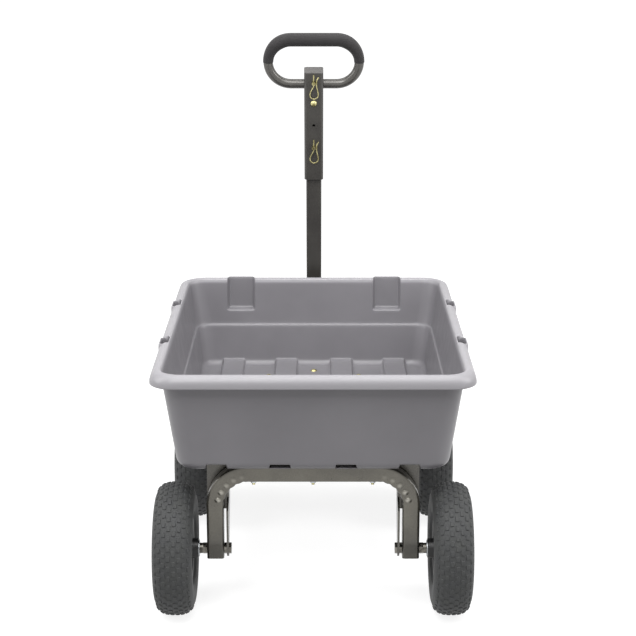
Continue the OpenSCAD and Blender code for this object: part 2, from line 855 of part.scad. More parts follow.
module front_axle_bolts() {
  color(zinc) placed() for (side = sides) axle_bolt(side, wheelbase, beam_half - end_plate_t);
}

module front_axle_nuts() {
  color(zinc) placed() for (side = sides) end_nut(side, wheelbase);
}

module front_spacers() {
  color(zinc) placed() for (side = sides) spacer(side, wheelbase, beam_half);
}

stop_up = 62;
stop_d = 12;
clevis_in = shaft / 2 + gap;
clevis_back = 120;
tongue_clear = 48;
tongue_end = pivot_y - tongue_clear;
stop_back = shaft / 2 + stop_d / 2 + gap;
stop_y = pivot_y - stop_back * cos(lean) - stop_up * sin(lean);
stop_z = pivot_z - stop_back * sin(lean) + stop_up * cos(lean);
stop_lug_r = 15;

module clevis_outline() {
  translate([pivot_y, pivot_z]) circle(r = clevis_r);
  translate([stop_y, stop_z]) circle(r = stop_lug_r);
  polygon([
    [pivot_y - clevis_back, axle_z - beam / 2], [pivot_y, pivot_z - clevis_r],
    [pivot_y + clevis_r, pivot_z], [stop_y + stop_lug_r, stop_z],
    [stop_y, stop_z + stop_lug_r], [pivot_y - clevis_back, beam_top]
  ]);
}

module tongue() {
  start = wheelbase + beam / 2;
  color(tube_grey) placed() difference() {
    union() {
      translate([0, start, axle_z]) rotate([-90, 0, 0])
        linear_extrude(tongue_end - start) tube_section(beam, beam, beam_edge, frame_wall);
      for (side = sides) {
        side_plate(side * (clevis_in + clevis_t / 2) - clevis_t / 2, clevis_t) clevis_outline();
        translate([side * (clevis_in + beam / 2) / 2, pivot_y - clevis_back / 2 - tongue_clear / 2, axle_z])
          cube([clevis_in - beam / 2 + seat, clevis_back - tongue_clear, beam / 2], center = true);
      }
    }
    translate([-clevis_in - 2 * clevis_t, pivot_y, pivot_z]) rotate([0, 90, 0])
      cylinder(d = pivot_d + 2 * seat, h = 2 * clevis_in + 4 * clevis_t);
    translate([-clevis_in - 2 * clevis_t, stop_y, stop_z]) rotate([0, 90, 0])
      cylinder(d = stop_d + 2 * seat, h = 2 * clevis_in + 4 * clevis_t);
  }
}

brace_t = 6;
brace_w = 34;
brace_spread = 160;
brace_reach = 170;

module tongue_braces() {
  start = wheelbase + beam / 2;
  color(tube_grey) placed() for (side = sides) handed(side)
    translate([0, 0, axle_z - brace_t / 2]) linear_extrude(brace_t) polygon([
      [brace_spread, start], [brace_spread - brace_w, start],
      [beam / 2, start + brace_reach - brace_w], [beam / 2, start + brace_reach]
    ]);
}

pivot_head_t = 9;

module handle_pivot_bolt() {
  half = clevis_in + clevis_t;
  color(zinc) placed() translate([-half, pivot_y, pivot_z]) rotate([0, 90, 0]) {
    translate([0, 0, -pivot_head_t]) hexagon(pivot_d * nut_flats_share, pivot_head_t);
    cylinder(d = pivot_d, h = 2 * half);
    translate([0, 0, 2 * half]) hexagon(pivot_d * nut_flats_share, pivot_head_t);
  }
}

module handle_stop_pin() {
  half = clevis_in + clevis_t;
  color(zinc) placed() translate([-half, stop_y, stop_z]) rotate([0, 90, 0])
    cylinder(d = stop_d, h = 2 * half);
}

// Handle, drawn with the pivot at the origin and +Z along the shaft

shaft_edge = 5;
shaft_bush_d = pivot_d + 2 * bush_wall;
sleeve_top = sleeve_up + sleeve_l;
sleeve_edge = 8;
cap_skirt = 6;
cap_side = shaft - 2 * gap;
shaft_top = sleeve_top - cap_skirt - gap;
sleeve_bolt_d = 10;
button_h = 5;
pin_tail = 15;
pin_head_t = 6;
pin_head_share = 1.8;
clip_stand = 8;

module leaning() {
  placed() translate([0, pivot_y, pivot_z]) rotate([lean, 0, 0]) children();
}

// Bar through the handle from front to rear, at a distance up from the pivot
module through(up, d, reach) {
  translate([0, reach, up]) rotate([90, 0, 0]) cylinder(d = d, h = 2 * reach);
}

module handle_shaft() {
  color(shaft_grey) leaning() difference() {
    translate([0, 0, -shaft_heel]) linear_extrude(shaft_top + shaft_heel)
      tube_section(shaft, shaft, shaft_edge, shaft_wall);
    translate([-shaft, 0, 0]) rotate([0, 90, 0]) cylinder(d = shaft_bush_d + 2 * seat, h = 2 * shaft);
    for (up = [lower_pin_up, upper_pin_up]) through(up, hitch_d + 2 * seat, shaft);
    through(sleeve_bolt_up, sleeve_bolt_d + 2 * seat, shaft);
    through(tow_up, tow_d, shaft);
  }
}

module shaft_bush() {
  color(black) leaning() translate([-shaft / 2, 0, 0]) rotate([0, 90, 0])
    ring(shaft_bush_d, pivot_d + 2 * fit, shaft);
}

module handle_sleeve() {
  wall = (sleeve - shaft) / 2 - seat;
  color(shaft_grey) leaning() difference() {
    translate([0, 0, sleeve_up]) linear_extrude(sleeve_l) tube_section(sleeve, sleeve, sleeve_edge, wall);
    for (up = [lower_pin_up, upper_pin_up]) through(up, hitch_d + 2 * seat, sleeve);
    through(sleeve_bolt_up, sleeve_bolt_d + 2 * seat, sleeve);
    through(tow_up, tow_d, sleeve);
  }
}

module sleeve_cap() {
  color(tube_grey) leaning() translate([0, 0, sleeve_top]) {
    linear_extrude(cap_h) rounded(sleeve, sleeve, sleeve_edge);
    translate([0, 0, -cap_skirt]) linear_extrude(cap_skirt + cut)
      rounded(cap_side, cap_side, shaft_edge - shaft_wall / 2);
  }
}

// Round tube along the stadium loop, over its upper half or all of it. The whole loop ends at the sleeve.
module loop_tube(outer, bore, whole) {
  r = loop_h / 2;
  straight = loop_w - loop_h;
  translate([0, 0, bar_up + r]) {
    for (side = sides) handed(side) {
      translate([straight / 2, 0, 0]) rotate([90, 0, 0]) rotate([0, 0, whole ? -90 : 0])
        rotate_extrude(angle = whole ? 180 : 90) translate([r, 0]) loop_section(outer, bore);
      if (whole) translate([sleeve / 2, 0, -r]) rotate([0, 90, 0])
        linear_extrude(straight / 2 - sleeve / 2) loop_section(outer, bore);
    }
    translate([-straight / 2, 0, r]) rotate([0, 90, 0]) linear_extrude(straight) loop_section(outer, bore);
  }
}

module loop_section(outer, bore) {
  difference() {
    circle(d = outer);
    circle(d = bore);
  }
}

module grip_loop() {
  color(shaft_grey) leaning() loop_tube(loop_d, loop_d - 2 * shaft_wall, true);
}

module foam_grip() {
  color(foam) leaning() loop_tube(grip_d, loop_d + 2 * seat, false);
}

module hitch_pins() {
  front = sleeve / 2;
  rear = sleeve / 2 + pin_tail;
  color(yellow_zinc) leaning() for (up = [lower_pin_up, upper_pin_up]) difference() {
    translate([0, front, up]) rotate([90, 0, 0]) {
      cylinder(d = hitch_d, h = front + rear);
      translate([0, 0, -pin_head_t]) cylinder(d = hitch_d * pin_head_share, h = pin_head_t);
    }
    translate([0, -sleeve / 2 - clip_stand, up - hitch_d]) cylinder(d = wire_d + 4 * fit, h = 2 * hitch_d);
  }
}

// Bolt that holds the sleeve on the shaft, with a button head to the rear and a nut to the front
module sleeve_bolt() {
  color(yellow_zinc) leaning() translate([0, 0, sleeve_bolt_up]) rotate([90, 0, 0]) {
    translate([0, 0, sleeve / 2]) dome(sleeve_bolt_d * pin_head_share, button_h);
    translate([0, 0, -sleeve / 2]) cylinder(d = sleeve_bolt_d, h = sleeve);
    translate([0, 0, -sleeve / 2 - pin_head_t]) hexagon(sleeve_bolt_d * nut_flats_share, pin_head_t);
  }
}

// Spring clip, drawn with +Z towards its eye: the straight leg goes through a hitch pin,
// then comes the eye, and the bowed leg grips the pin from outside
clip_tail = 24;
clip_neck_z = 11;
clip_eye_x = 1;
clip_eye_z = 35;
clip_eye_r = 11.5;
clip_turn = 180;
clip_steps = 8;
clip_room = 1;
clip_waist_x = hitch_d / 2 + wire_d / 2 + clip_room;
clip_waist_z = 6;
clip_flare_x = 14;
clip_flare_z = 17;
wire_fn = 10;

module clip(up) {
  eye = [for (i = [0:clip_steps]) let(a = clip_turn * (1 - i / clip_steps))
    [clip_eye_x + clip_eye_r * cos(a), 0, clip_eye_z + clip_eye_r * sin(a)]];
  path = concat([[0, 0, -clip_tail], [0, 0, clip_neck_z]], eye, [
    [clip_waist_x, 0, clip_neck_z], [clip_waist_x, 0, -clip_waist_z], [clip_flare_x, 0, -clip_flare_z]
  ]);
  leaning() translate([0, -sleeve / 2 - clip_stand, up]) mirror([0, 0, 1])
    for (i = [1:len(path) - 1]) hull() {
      translate(path[i - 1]) sphere(d = wire_d, $fn = wire_fn);
      translate(path[i]) sphere(d = wire_d, $fn = wire_fn);
    }
}

module upper_clip() {
  color(yellow_zinc) clip(upper_pin_up);
}

module lower_clip() {
  color(yellow_zinc) clip(lower_pin_up);
}

tray();
arch();
arch_bolts();
arch_nuts();
leg_bushes();
floor_bolts();
floor_nuts();
striker();
rail(-1);  // left_rail
rail(1);  // right_rail
front_crossmember();
rear_crossmember();
steering_head();
head_bushes();
rear_axle_bolts();
rear_axle_nuts();
rear_spacers();
latch_pivot_bolt();
latch_lever();
wheel_at(-1, 0) tyre();  // rear_left_tyre
wheel_at(-1, 0) rim();  // rear_left_rim
wheel_at(-1, 0) bearings();  // rear_left_bearings
wheel_at(-1, 0) valve();  // rear_left_valve
wheel_at(1, 0) tyre();  // rear_right_tyre
wheel_at(1, 0) rim();  // rear_right_rim
wheel_at(1, 0) bearings();  // rear_right_bearings
wheel_at(1, 0) valve();  // rear_right_valve
wheel_at(-1, wheelbase) tyre();  // front_left_tyre
wheel_at(-1, wheelbase) rim();  // front_left_rim
wheel_at(-1, wheelbase) bearings();  // front_left_bearings
wheel_at(-1, wheelbase) valve();  // front_left_valve
wheel_at(1, wheelbase) tyre();  // front_right_tyre
wheel_at(1, wheelbase) rim();  // front_right_rim
wheel_at(1, wheelbase) bearings();  // front_right_bearings
wheel_at(1, wheelbase) valve();  // front_right_valve
front_axle_beam();
front_axle_bolts();
front_axle_nuts();
front_spacers();
kingpin();
kingpin_nut();
thrust_washer();
tongue();
tongue_braces();
handle_pivot_bolt();
handle_stop_pin();
handle_shaft();
shaft_bush();
handle_sleeve();
sleeve_cap();
grip_loop();
foam_grip();
hitch_pins();
sleeve_bolt();
upper_clip();
lower_clip();
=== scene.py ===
# %% [markdown]
# # Tipping dump cart
# A grey moulded tray rides on a bent steel arch that tips about the rear axle.
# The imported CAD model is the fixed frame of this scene: it holds every rail, bolt, hub and joint in place.
# This file gives each CAD node a real finish, and rebuilds the pieces whose look needs a finer mesh:
# the tray, the arch with its bending wrinkles, the tyres, the rims, the foam grip and the wire clips.

# %% Load the frame
import json
import math

import bmesh
import bpy
from mathutils import Matrix, Vector


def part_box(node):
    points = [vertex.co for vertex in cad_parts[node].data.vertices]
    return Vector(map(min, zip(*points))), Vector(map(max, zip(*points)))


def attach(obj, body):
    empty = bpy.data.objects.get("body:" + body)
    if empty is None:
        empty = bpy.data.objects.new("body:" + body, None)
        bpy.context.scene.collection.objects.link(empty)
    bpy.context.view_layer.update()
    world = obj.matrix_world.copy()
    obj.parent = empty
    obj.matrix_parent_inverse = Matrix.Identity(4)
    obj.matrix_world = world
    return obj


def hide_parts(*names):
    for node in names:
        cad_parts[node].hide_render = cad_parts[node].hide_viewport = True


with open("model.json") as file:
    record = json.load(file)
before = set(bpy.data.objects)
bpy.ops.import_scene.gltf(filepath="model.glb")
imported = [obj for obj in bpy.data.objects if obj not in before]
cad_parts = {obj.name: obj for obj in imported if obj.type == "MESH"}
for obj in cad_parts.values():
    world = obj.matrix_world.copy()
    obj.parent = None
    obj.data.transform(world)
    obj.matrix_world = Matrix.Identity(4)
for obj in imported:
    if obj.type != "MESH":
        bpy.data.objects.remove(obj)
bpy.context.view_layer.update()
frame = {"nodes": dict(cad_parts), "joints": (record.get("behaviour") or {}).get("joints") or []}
nodes = frame["nodes"]
MM = 0.001
SIDES = (-1, 1)
MERGE = 0.01 * MM

# %% [markdown]
# Every finish below is a small node tree. A finish could be painted on a picture that is wrapped round the
# mesh, but patterns on the object's own coordinates need no unwrapping and stay sharp close up.
# Colours are written as sRGB hex values, as a designer would pick them, and one function turns them to the
# linear numbers that the shader needs. One function adds a node with its settings and links, so that each
# material reads from top to bottom.

# %% Colour and node helpers
def linear(hex_colour):
    """Linear RGBA of an sRGB hex colour such as #767478."""
    values = [int(hex_colour[i : i + 2], 16) / 255 for i in (1, 3, 5)]
    return (*[v / 12.92 if v <= 0.04045 else ((v + 0.055) / 1.055) ** 2.4 for v in values], 1.0)


def add(tree, kind, inputs=None, ramp=(), **settings):
    """Adds a node; an input is a value or the socket that feeds it, a ramp is levels and colours."""
    made = tree.nodes.new(kind)
    for name, value in settings.items():
        setattr(made, name, value)
    for stop, (level, colour) in enumerate(ramp):
        made.color_ramp.elements[stop].position = level
        made.color_ramp.elements[stop].color = linear(colour)
    for name, value in (inputs or {}).items():
        if isinstance(value, bpy.types.NodeSocket):
            tree.links.new(value, made.inputs[name])
        else:
            made.inputs[name].default_value = value
    return made


def finish(name, **shader):
    """A new material with its tree, its shader and the object coordinates that patterns read."""
    material = bpy.data.materials.new(name)
    material.use_nodes = True
    tree = material.node_tree
    surface = tree.nodes["Principled BSDF"]
    for socket, value in shader.items():
        surface.inputs[socket.replace("_", " ")].default_value = value
    place = add(tree, "ShaderNodeTexCoord").outputs["Object"]
    return material, tree, surface, place


def shade(tree, surface, **sockets):
    """Links outputs to the shader's own sockets."""
    for name, output in sockets.items():
        tree.links.new(output, surface.inputs[name.replace("_", " ")])


def per_metre(size_mm):
    """Texture scale that repeats a pattern about every size_mm millimetres."""
    return 1 / (size_mm * MM)


# Noise seldom leaves this range, so roughness is spread over it
CALM = {"From Min": 0.3, "From Max": 0.7}
print("helpers ready")

# %% [markdown]
# ## Moulded polyethylene
# The tray is one thick moulding of grey polyethylene. Its mould was lightly grained, so the skin is satin,
# with a fine even tooth, faint cloudy flow marks and a few rubbed patches where loads have slid.
# The rim is painted paler, a painted highlight for the sheen of its roll. An attribute of the tray's own
# mesh says where the rim is.

# %% Tray material
def moulded_polyethylene():
    material, tree, surface, place = finish("moulded_polyethylene", IOR=1.54, Roughness=0.36)
    clouds = add(tree, "ShaderNodeTexNoise", {"Vector": place, "Scale": per_metre(180), "Detail": 3.0})
    tint = add(tree, "ShaderNodeValToRGB", {"Fac": clouds.outputs["Fac"]},
               ramp=((0.35, "#757377"), (0.65, "#7c7a7e")))
    # Painted highlight: where the mesh's attribute marks the rim, the colour is mixed to a paler grey.
    painted_highlight = add(tree, "ShaderNodeAttribute", attribute_name="painted_highlight")
    colour = add(tree, "ShaderNodeMixRGB", {
        "Fac": painted_highlight.outputs["Fac"], "Color1": tint.outputs["Color"], "Color2": linear("#98969a")})
    rubbed = add(tree, "ShaderNodeTexNoise", {"Vector": place, "Scale": per_metre(45), "Detail": 6.0})
    polish = add(tree, "ShaderNodeMapRange", {
        "Value": rubbed.outputs["Fac"], **CALM, "To Min": 0.32, "To Max": 0.42})
    # The mould's grain is about 0.4 mm; it is drawn at 1.6 mm so that it shows at this distance.
    grain = add(tree, "ShaderNodeTexNoise", {"Vector": place, "Scale": per_metre(1.6), "Detail": 2.0})
    tooth = add(tree, "ShaderNodeBump", {
        "Height": grain.outputs["Fac"], "Strength": 0.12, "Distance": 0.2 * MM})
    shade(tree, surface, Base_Color=colour.outputs["Color"], Roughness=polish.outputs["Result"],
          Normal=tooth.outputs["Normal"])
    return material


TRAY_POLY = moulded_polyethylene()
print("material:", TRAY_POLY.name)

# %% [markdown]
# ## Hammered enamel
# The arch, rails and axle parts are steel tube sprayed with a metallic enamel that dries with small hammered
# dimples. Fine metal flake in it gives a warm gunmetal sheen, so the shader is partly metallic, with a clear
# coat over it. Where the arch's bends bulge, the lumps are painted paler as a painted highlight.

# %% Frame material
def hammered_enamel(name, dark, pale, roughness, metallic):
    material, tree, surface, place = finish(
        name, IOR=1.5, Metallic=metallic, Coat_Weight=0.4, Coat_Roughness=0.16)
    # Real hammer finish dimples are 2 to 4 mm across.
    dimples = add(tree, "ShaderNodeTexVoronoi", {"Vector": place, "Scale": per_metre(3.4)},
                  feature="SMOOTH_F1")
    # Real flake is finer than 0.1 mm; it is drawn at 1.1 mm so that it shows.
    flake = add(tree, "ShaderNodeTexNoise", {"Vector": place, "Scale": per_metre(1.1), "Detail": 2.0})
    drift = add(tree, "ShaderNodeTexNoise", {"Vector": place, "Scale": per_metre(70), "Detail": 4.0})
    blend = add(tree, "ShaderNodeMath", {0: flake.outputs["Fac"], 1: drift.outputs["Fac"]},
                operation="MULTIPLY")
    tint = add(tree, "ShaderNodeValToRGB", {"Fac": blend.outputs["Value"]},
               ramp=((0.15, dark), (0.38, pale)))
    # Painted highlight: where the mesh's attribute marks the arch's lumps, the colour is mixed to a pale
    # grey.
    painted_highlight = add(tree, "ShaderNodeAttribute", attribute_name="painted_highlight")
    painted_highlight_mix = add(tree, "ShaderNodeMixRGB", {
        "Fac": painted_highlight.outputs["Fac"], "Color1": tint.outputs["Color"], "Color2": linear("#b4b1a7")})
    gloss = add(tree, "ShaderNodeMapRange", {
        "Value": drift.outputs["Fac"], **CALM, "To Min": roughness - 0.05, "To Max": roughness + 0.06})
    skin = add(tree, "ShaderNodeBump", {
        "Height": dimples.outputs["Distance"], "Strength": 0.22, "Distance": 0.35 * MM})
    shade(tree, surface, Base_Color=painted_highlight_mix.outputs["Color"], Roughness=gloss.outputs["Result"],
          Normal=skin.outputs["Normal"])
    return material


ARCH_ENAMEL = hammered_enamel("hammered_gunmetal_enamel", "#524f48", "#67645b", roughness=0.3, metallic=0.6)
LOOP_ENAMEL = hammered_enamel("hammered_grey_enamel", "#474542", "#5a5854", roughness=0.34, metallic=0.55)
FRAME_ENAMEL = hammered_enamel("hammered_dark_enamel", "#46443f", "#5c5953", roughness=0.27, metallic=0.6)
print("materials:", ARCH_ENAMEL.name, LOOP_ENAMEL.name, FRAME_ENAMEL.name)

# %% [markdown]
# ## Satin handle enamel and black enamel
# The pull handle and its sleeve are painted a dark bronze grey, and the rims a deep black.
# Sprayed paint is never quite flat: it keeps an orange peel of about 2 mm, with a little dust in it.

# %% Sprayed enamels
def sprayed_enamel(name, colour, dusty, roughness):
    material, tree, surface, place = finish(name, IOR=1.5, Coat_Weight=0.15, Coat_Roughness=0.3)
    dust = add(tree, "ShaderNodeTexNoise", {"Vector": place, "Scale": per_metre(60), "Detail": 6.0})
    tint = add(tree, "ShaderNodeValToRGB", {"Fac": dust.outputs["Fac"]},
               ramp=((0.4, colour), (0.75, dusty)))
    gloss = add(tree, "ShaderNodeMapRange", {
        "Value": dust.outputs["Fac"], **CALM, "To Min": roughness - 0.06, "To Max": roughness + 0.08})
    peel = add(tree, "ShaderNodeTexNoise", {"Vector": place, "Scale": per_metre(2.2), "Detail": 1.0})
    skin = add(tree, "ShaderNodeBump", {
        "Height": peel.outputs["Fac"], "Strength": 0.1, "Distance": 0.2 * MM})
    shade(tree, surface, Base_Color=tint.outputs["Color"], Roughness=gloss.outputs["Result"],
          Normal=skin.outputs["Normal"])
    return material


HANDLE_ENAMEL = sprayed_enamel("satin_bronze_grey_enamel", "#3d3b38", "#45433f", roughness=0.42)
BLACK_ENAMEL = sprayed_enamel("black_enamel", "#1b1b1c", "#262626", roughness=0.38)
print("materials:", HANDLE_ENAMEL.name, BLACK_ENAMEL.name)

# %% [markdown]
# ## Plated steel
# Nuts and bearings are bright zinc: a bluish silver with a soft bloom. The tray bolts, hitch pins and clips
# have a yellow chromate over the zinc, which drifts from olive to pale straw. The axle bolts are dark oiled
# steel. All are bare metal to the eye, so fully metallic.

# %% Plated metals
def plated_steel(name, dark, pale, roughness):
    material, tree, surface, place = finish(name, Metallic=1.0)
    bloom = add(tree, "ShaderNodeTexNoise", {"Vector": place, "Scale": per_metre(9), "Detail": 5.0})
    tint = add(tree, "ShaderNodeValToRGB", {"Fac": bloom.outputs["Fac"]},
               ramp=((0.35, dark), (0.65, pale)))
    dull = add(tree, "ShaderNodeMapRange", {
        "Value": bloom.outputs["Fac"], **CALM, "To Min": roughness - 0.07, "To Max": roughness + 0.09})
    shade(tree, surface, Base_Color=tint.outputs["Color"], Roughness=dull.outputs["Result"])
    return material


ZINC_STEEL = plated_steel("bright_zinc_steel", "#a3a6a8", "#c6c9cb", roughness=0.34)
YELLOW_ZINC = plated_steel("yellow_chromate_zinc", "#8f8758", "#cbc493", roughness=0.3)
AXLE_STEEL = plated_steel("oiled_axle_steel", "#45433f", "#7a7770", roughness=0.3)
print("materials:", ZINC_STEEL.name, YELLOW_ZINC.name, AXLE_STEEL.name)

# %% [markdown]
# ## Rubber, plastic and foam
# Tyre rubber is a dull charcoal that holds pale dust in its texture. The shaft bush, thrust washer and
# sleeve cap are moulded plastic. The grip is closed-cell foam tube: soft, matt, with a skin full of
# tiny cells.

# %% Rubber, plastic and foam materials
def dull_polymer(name, colour, pale, roughness, cell_mm, depth_mm, strength):
    material, tree, surface, place = finish(name, IOR=1.5)
    dust = add(tree, "ShaderNodeTexNoise", {"Vector": place, "Scale": per_metre(28), "Detail": 8.0})
    tint = add(tree, "ShaderNodeValToRGB", {"Fac": dust.outputs["Fac"]},
               ramp=((0.35, colour), (0.72, pale)))
    matt = add(tree, "ShaderNodeMapRange", {
        "Value": dust.outputs["Fac"], **CALM, "To Min": roughness - 0.07, "To Max": roughness + 0.07})
    # Real cells and grain are about 0.3 mm; they are drawn larger so that they show.
    cells = add(tree, "ShaderNodeTexVoronoi", {"Vector": place, "Scale": per_metre(cell_mm)})
    skin = add(tree, "ShaderNodeBump", {
        "Height": cells.outputs["Distance"], "Strength": strength, "Distance": depth_mm * MM})
    shade(tree, surface, Base_Color=tint.outputs["Color"], Roughness=matt.outputs["Result"],
          Normal=skin.outputs["Normal"])
    return material


TYRE_RUBBER = dull_polymer("vulcanised_tyre_rubber", "#353637", "#434443",
                           roughness=0.68, cell_mm=1.8, depth_mm=0.2, strength=0.2)
VALVE_RUBBER = dull_polymer("valve_rubber", "#232324", "#2c2c2c",
                            roughness=0.6, cell_mm=1.5, depth_mm=0.1, strength=0.15)
BLACK_PLASTIC = dull_polymer("black_nylon", "#1d1d1e", "#262627",
                             roughness=0.5, cell_mm=1.2, depth_mm=0.1, strength=0.15)
CAP_PLASTIC = dull_polymer("grey_moulded_cap", "#585654", "#636160",
                           roughness=0.48, cell_mm=1.4, depth_mm=0.1, strength=0.15)
GRIP_FOAM = dull_polymer("closed_cell_grip_foam", "#242223", "#2c2a2b",
                         roughness=0.86, cell_mm=1.3, depth_mm=0.5, strength=0.5)
GRIP_FOAM.node_tree.nodes["Principled BSDF"].inputs["Sheen Weight"].default_value = 0.15
print("materials:", TYRE_RUBBER.name, CAP_PLASTIC.name, GRIP_FOAM.name)

# %% [markdown]
# ## Finishes for the CAD nodes that stay
# A CAD node whose shape is right is kept as it is and only takes a finish.
# Its mesh is loose triangles, so a Weld modifier joins them and an Edge Split modifier keeps the real edges
# crisp while curved faces shade smoothly. The node's own vertices stay as the CAD made them.

# %% Give the kept nodes their finishes
CORNERS = [f"{end}_{side}" for end in ("rear", "front") for side in ("left", "right")]
KEPT = {
    FRAME_ENAMEL: [
        "left_rail", "right_rail", "front_crossmember", "rear_crossmember", "steering_head", "striker",
        "front_axle_beam", "tongue", "tongue_braces"],
    LOOP_ENAMEL: ["grip_loop"],
    HANDLE_ENAMEL: ["handle_shaft", "handle_sleeve", "latch_lever"],
    YELLOW_ZINC: ["arch_bolts", "floor_bolts", "hitch_pins", "sleeve_bolt"],
    AXLE_STEEL: [
        f"{end}_{part}" for end in ("rear", "front") for part in ("axle_bolts", "axle_nuts", "spacers")],
    ZINC_STEEL: [
        "arch_nuts", "floor_nuts", "leg_bushes", "head_bushes", "kingpin", "kingpin_nut",
        "latch_pivot_bolt", "handle_pivot_bolt", "handle_stop_pin", *[f"{c}_bearings" for c in CORNERS]],
    BLACK_PLASTIC: ["thrust_washer", "shaft_bush"],
    CAP_PLASTIC: ["sleeve_cap"],
    VALVE_RUBBER: [f"{c}_valve" for c in CORNERS],
}
WELD = 0.002 * MM
CRISP = math.radians(32)
for material, names in KEPT.items():
    for name in names:
        node = nodes[name]
        node.data.materials.clear()
        node.data.materials.append(material)
        node.data.polygons.foreach_set("use_smooth", [True] * len(node.data.polygons))
        node.modifiers.new("Weld", "WELD").merge_threshold = WELD
        node.modifiers.new("Crisp edges", "EDGE_SPLIT").split_angle = CRISP
print("kept CAD nodes:", sum(len(names) for names in KEPT.values()))

# %% [markdown]
# ## Making a piece
# A finished piece sits at the origin with its place in its mesh, rides on a CAD body and hides the CAD node
# that it stands for. Extruded and spun pieces need the new edges or vertices out of what an operator
# returns, so small helpers pick them out.

# %% Piece helpers
def piece(name, bm, body, material, stands_for, crisp):
    """A shown piece that rides on a CAD body; edges that turn more than crisp degrees stay hard."""
    mesh = bpy.data.meshes.new(name)
    bm.to_mesh(mesh)
    bm.free()
    mesh.materials.append(material)
    mesh.polygons.foreach_set("use_smooth", [True] * len(mesh.polygons))
    mesh.set_sharp_from_angle(angle=math.radians(crisp))
    made = bpy.data.objects.new(name, mesh)
    bpy.context.scene.collection.objects.link(made)
    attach(made, body)
    if stands_for:
        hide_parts(*stands_for)
    print("piece:", name, len(mesh.polygons), "faces")
    return made


def edges_of(geometry):
    return [g for g in geometry if isinstance(g, bmesh.types.BMEdge)]


def verts_of(geometry):
    return [g for g in geometry if isinstance(g, bmesh.types.BMVert)]


def grow(bm, edges):
    """Extrudes a loop of edges; returns the new loop and its vertices."""
    grown = bmesh.ops.extrude_edge_only(bm, edges=edges)["geom"]
    moved = verts_of(grown)
    fresh = set(moved)
    return [e for e in edges_of(grown) if all(v in fresh for v in e.verts)], moved


def step(value, low, high):
    """Smooth step from 0 at low to 1 at high."""
    t = min(max((value - low) / (high - low), 0.0), 1.0)
    return t * t * (3 - 2 * t)


print("piece helpers ready")

# %% [markdown]
# ## The tray
# The real tray is one moulding: a drafted tub with a rolled rim, four ribs in the floor, open channels under
# them, and six stake pockets. The two front pockets are recesses in the wall, and the four side pockets are
# pits that open in the rim's top. Each has a boss outside.
# It could be cut with booleans, but their seams shade badly on so large a smooth skin.
# So it grows from one grid: the grid is the floor, and its edge loop is extruded row by row up the
# inner wall, over the rim and down the outside. Grid lines lie close together at each rib and pocket,
# so those forms are made by moving the lines, and one level of subdivision rounds them.

# %% Tray sizes
tray_low, tray_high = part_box("tray")
TRAY_MID = (tray_low + tray_high) / 2
RIM_Z = tray_high.z
RIM_LIP = 24 * MM
RIM_DROP = 32 * MM
RIM_CORNER = 62 * MM
RIM_BULGE = 1.2 * MM
BULGE_EDGE = 6 * MM
BULGE_END = 2 * MM
CREST_OUT = 4 * MM
ROLL_DOWN = 27 * MM
WALL = 5 * MM
DRAFT = 0.14
TOP_HALF = Vector((tray_high.x - TRAY_MID.x - RIM_LIP, tray_high.y - TRAY_MID.y - RIM_LIP))
TUB_CORNER = 52 * MM
TUB_EDGE = 24 * MM
STEP_Z = RIM_Z - 134 * MM
STEP_IN = 5 * MM
FLOOR_Z = tray_low.z + WALL
CORNER_STEPS = 5
print("tray crest", round(RIM_Z, 4), "floor", round(FLOOR_Z, 4))

# %% Rib, channel and pocket sizes
RIBS = [x * MM for x in (-234, -80, 80, 234)]
RIB_HALF = 32 * MM
RIB_EDGE = 2.5 * MM
RIB_H = 12 * MM
RIB_FADE = 20 * MM
CHANNEL_HALF = 25 * MM
CHANNEL_EDGE = 0.6 * MM
POCKET_D = 23.5 * MM
POCKET_DRAFT = 0.154
POCKET_Z = RIM_Z - 90 * MM
POCKET_EDGE = 1.6 * MM
LEDGE_EDGE = 0.8 * MM
PIT_ROOF = 22 * MM
BOSS_Z = tray_low.z + 27 * MM
BOSS_EDGE = 1.7 * MM
BOSS_SKIN = 3.3 * MM
BOSS_GAP = 0.5 * MM
SIDE_POCKETS = [back * MM - (tray_high.y - tray_low.y) / 2 for back in (337, 719)]
SIDE_POCKET_HALF = 28 * MM
FRONT_POCKETS = [-213 * MM, 213 * MM]
FRONT_POCKET_HALF = 37 * MM
print("ribs:", len(RIBS), "pockets:", 2 * len(SIDE_POCKETS) + len(FRONT_POCKETS))


# %% Grid lines, close together where the moulding turns
def grid_lines(last, edges, offsets, widest, finest):
    """Straight lines from -last to last, with lines beside each edge and none wider apart than widest."""
    beside = [e + o for e in edges for o in offsets if abs(e + o) < last - finest]
    wanted = sorted({-last, last, *beside})
    lines = [wanted[0]]
    for place in wanted[1:]:
        gap = place - lines[-1]
        if gap < finest:
            continue
        cuts = math.ceil(gap / widest)
        lines += [place - gap * (1 - (i + 1) / cuts) for i in range(cuts)]
    return lines


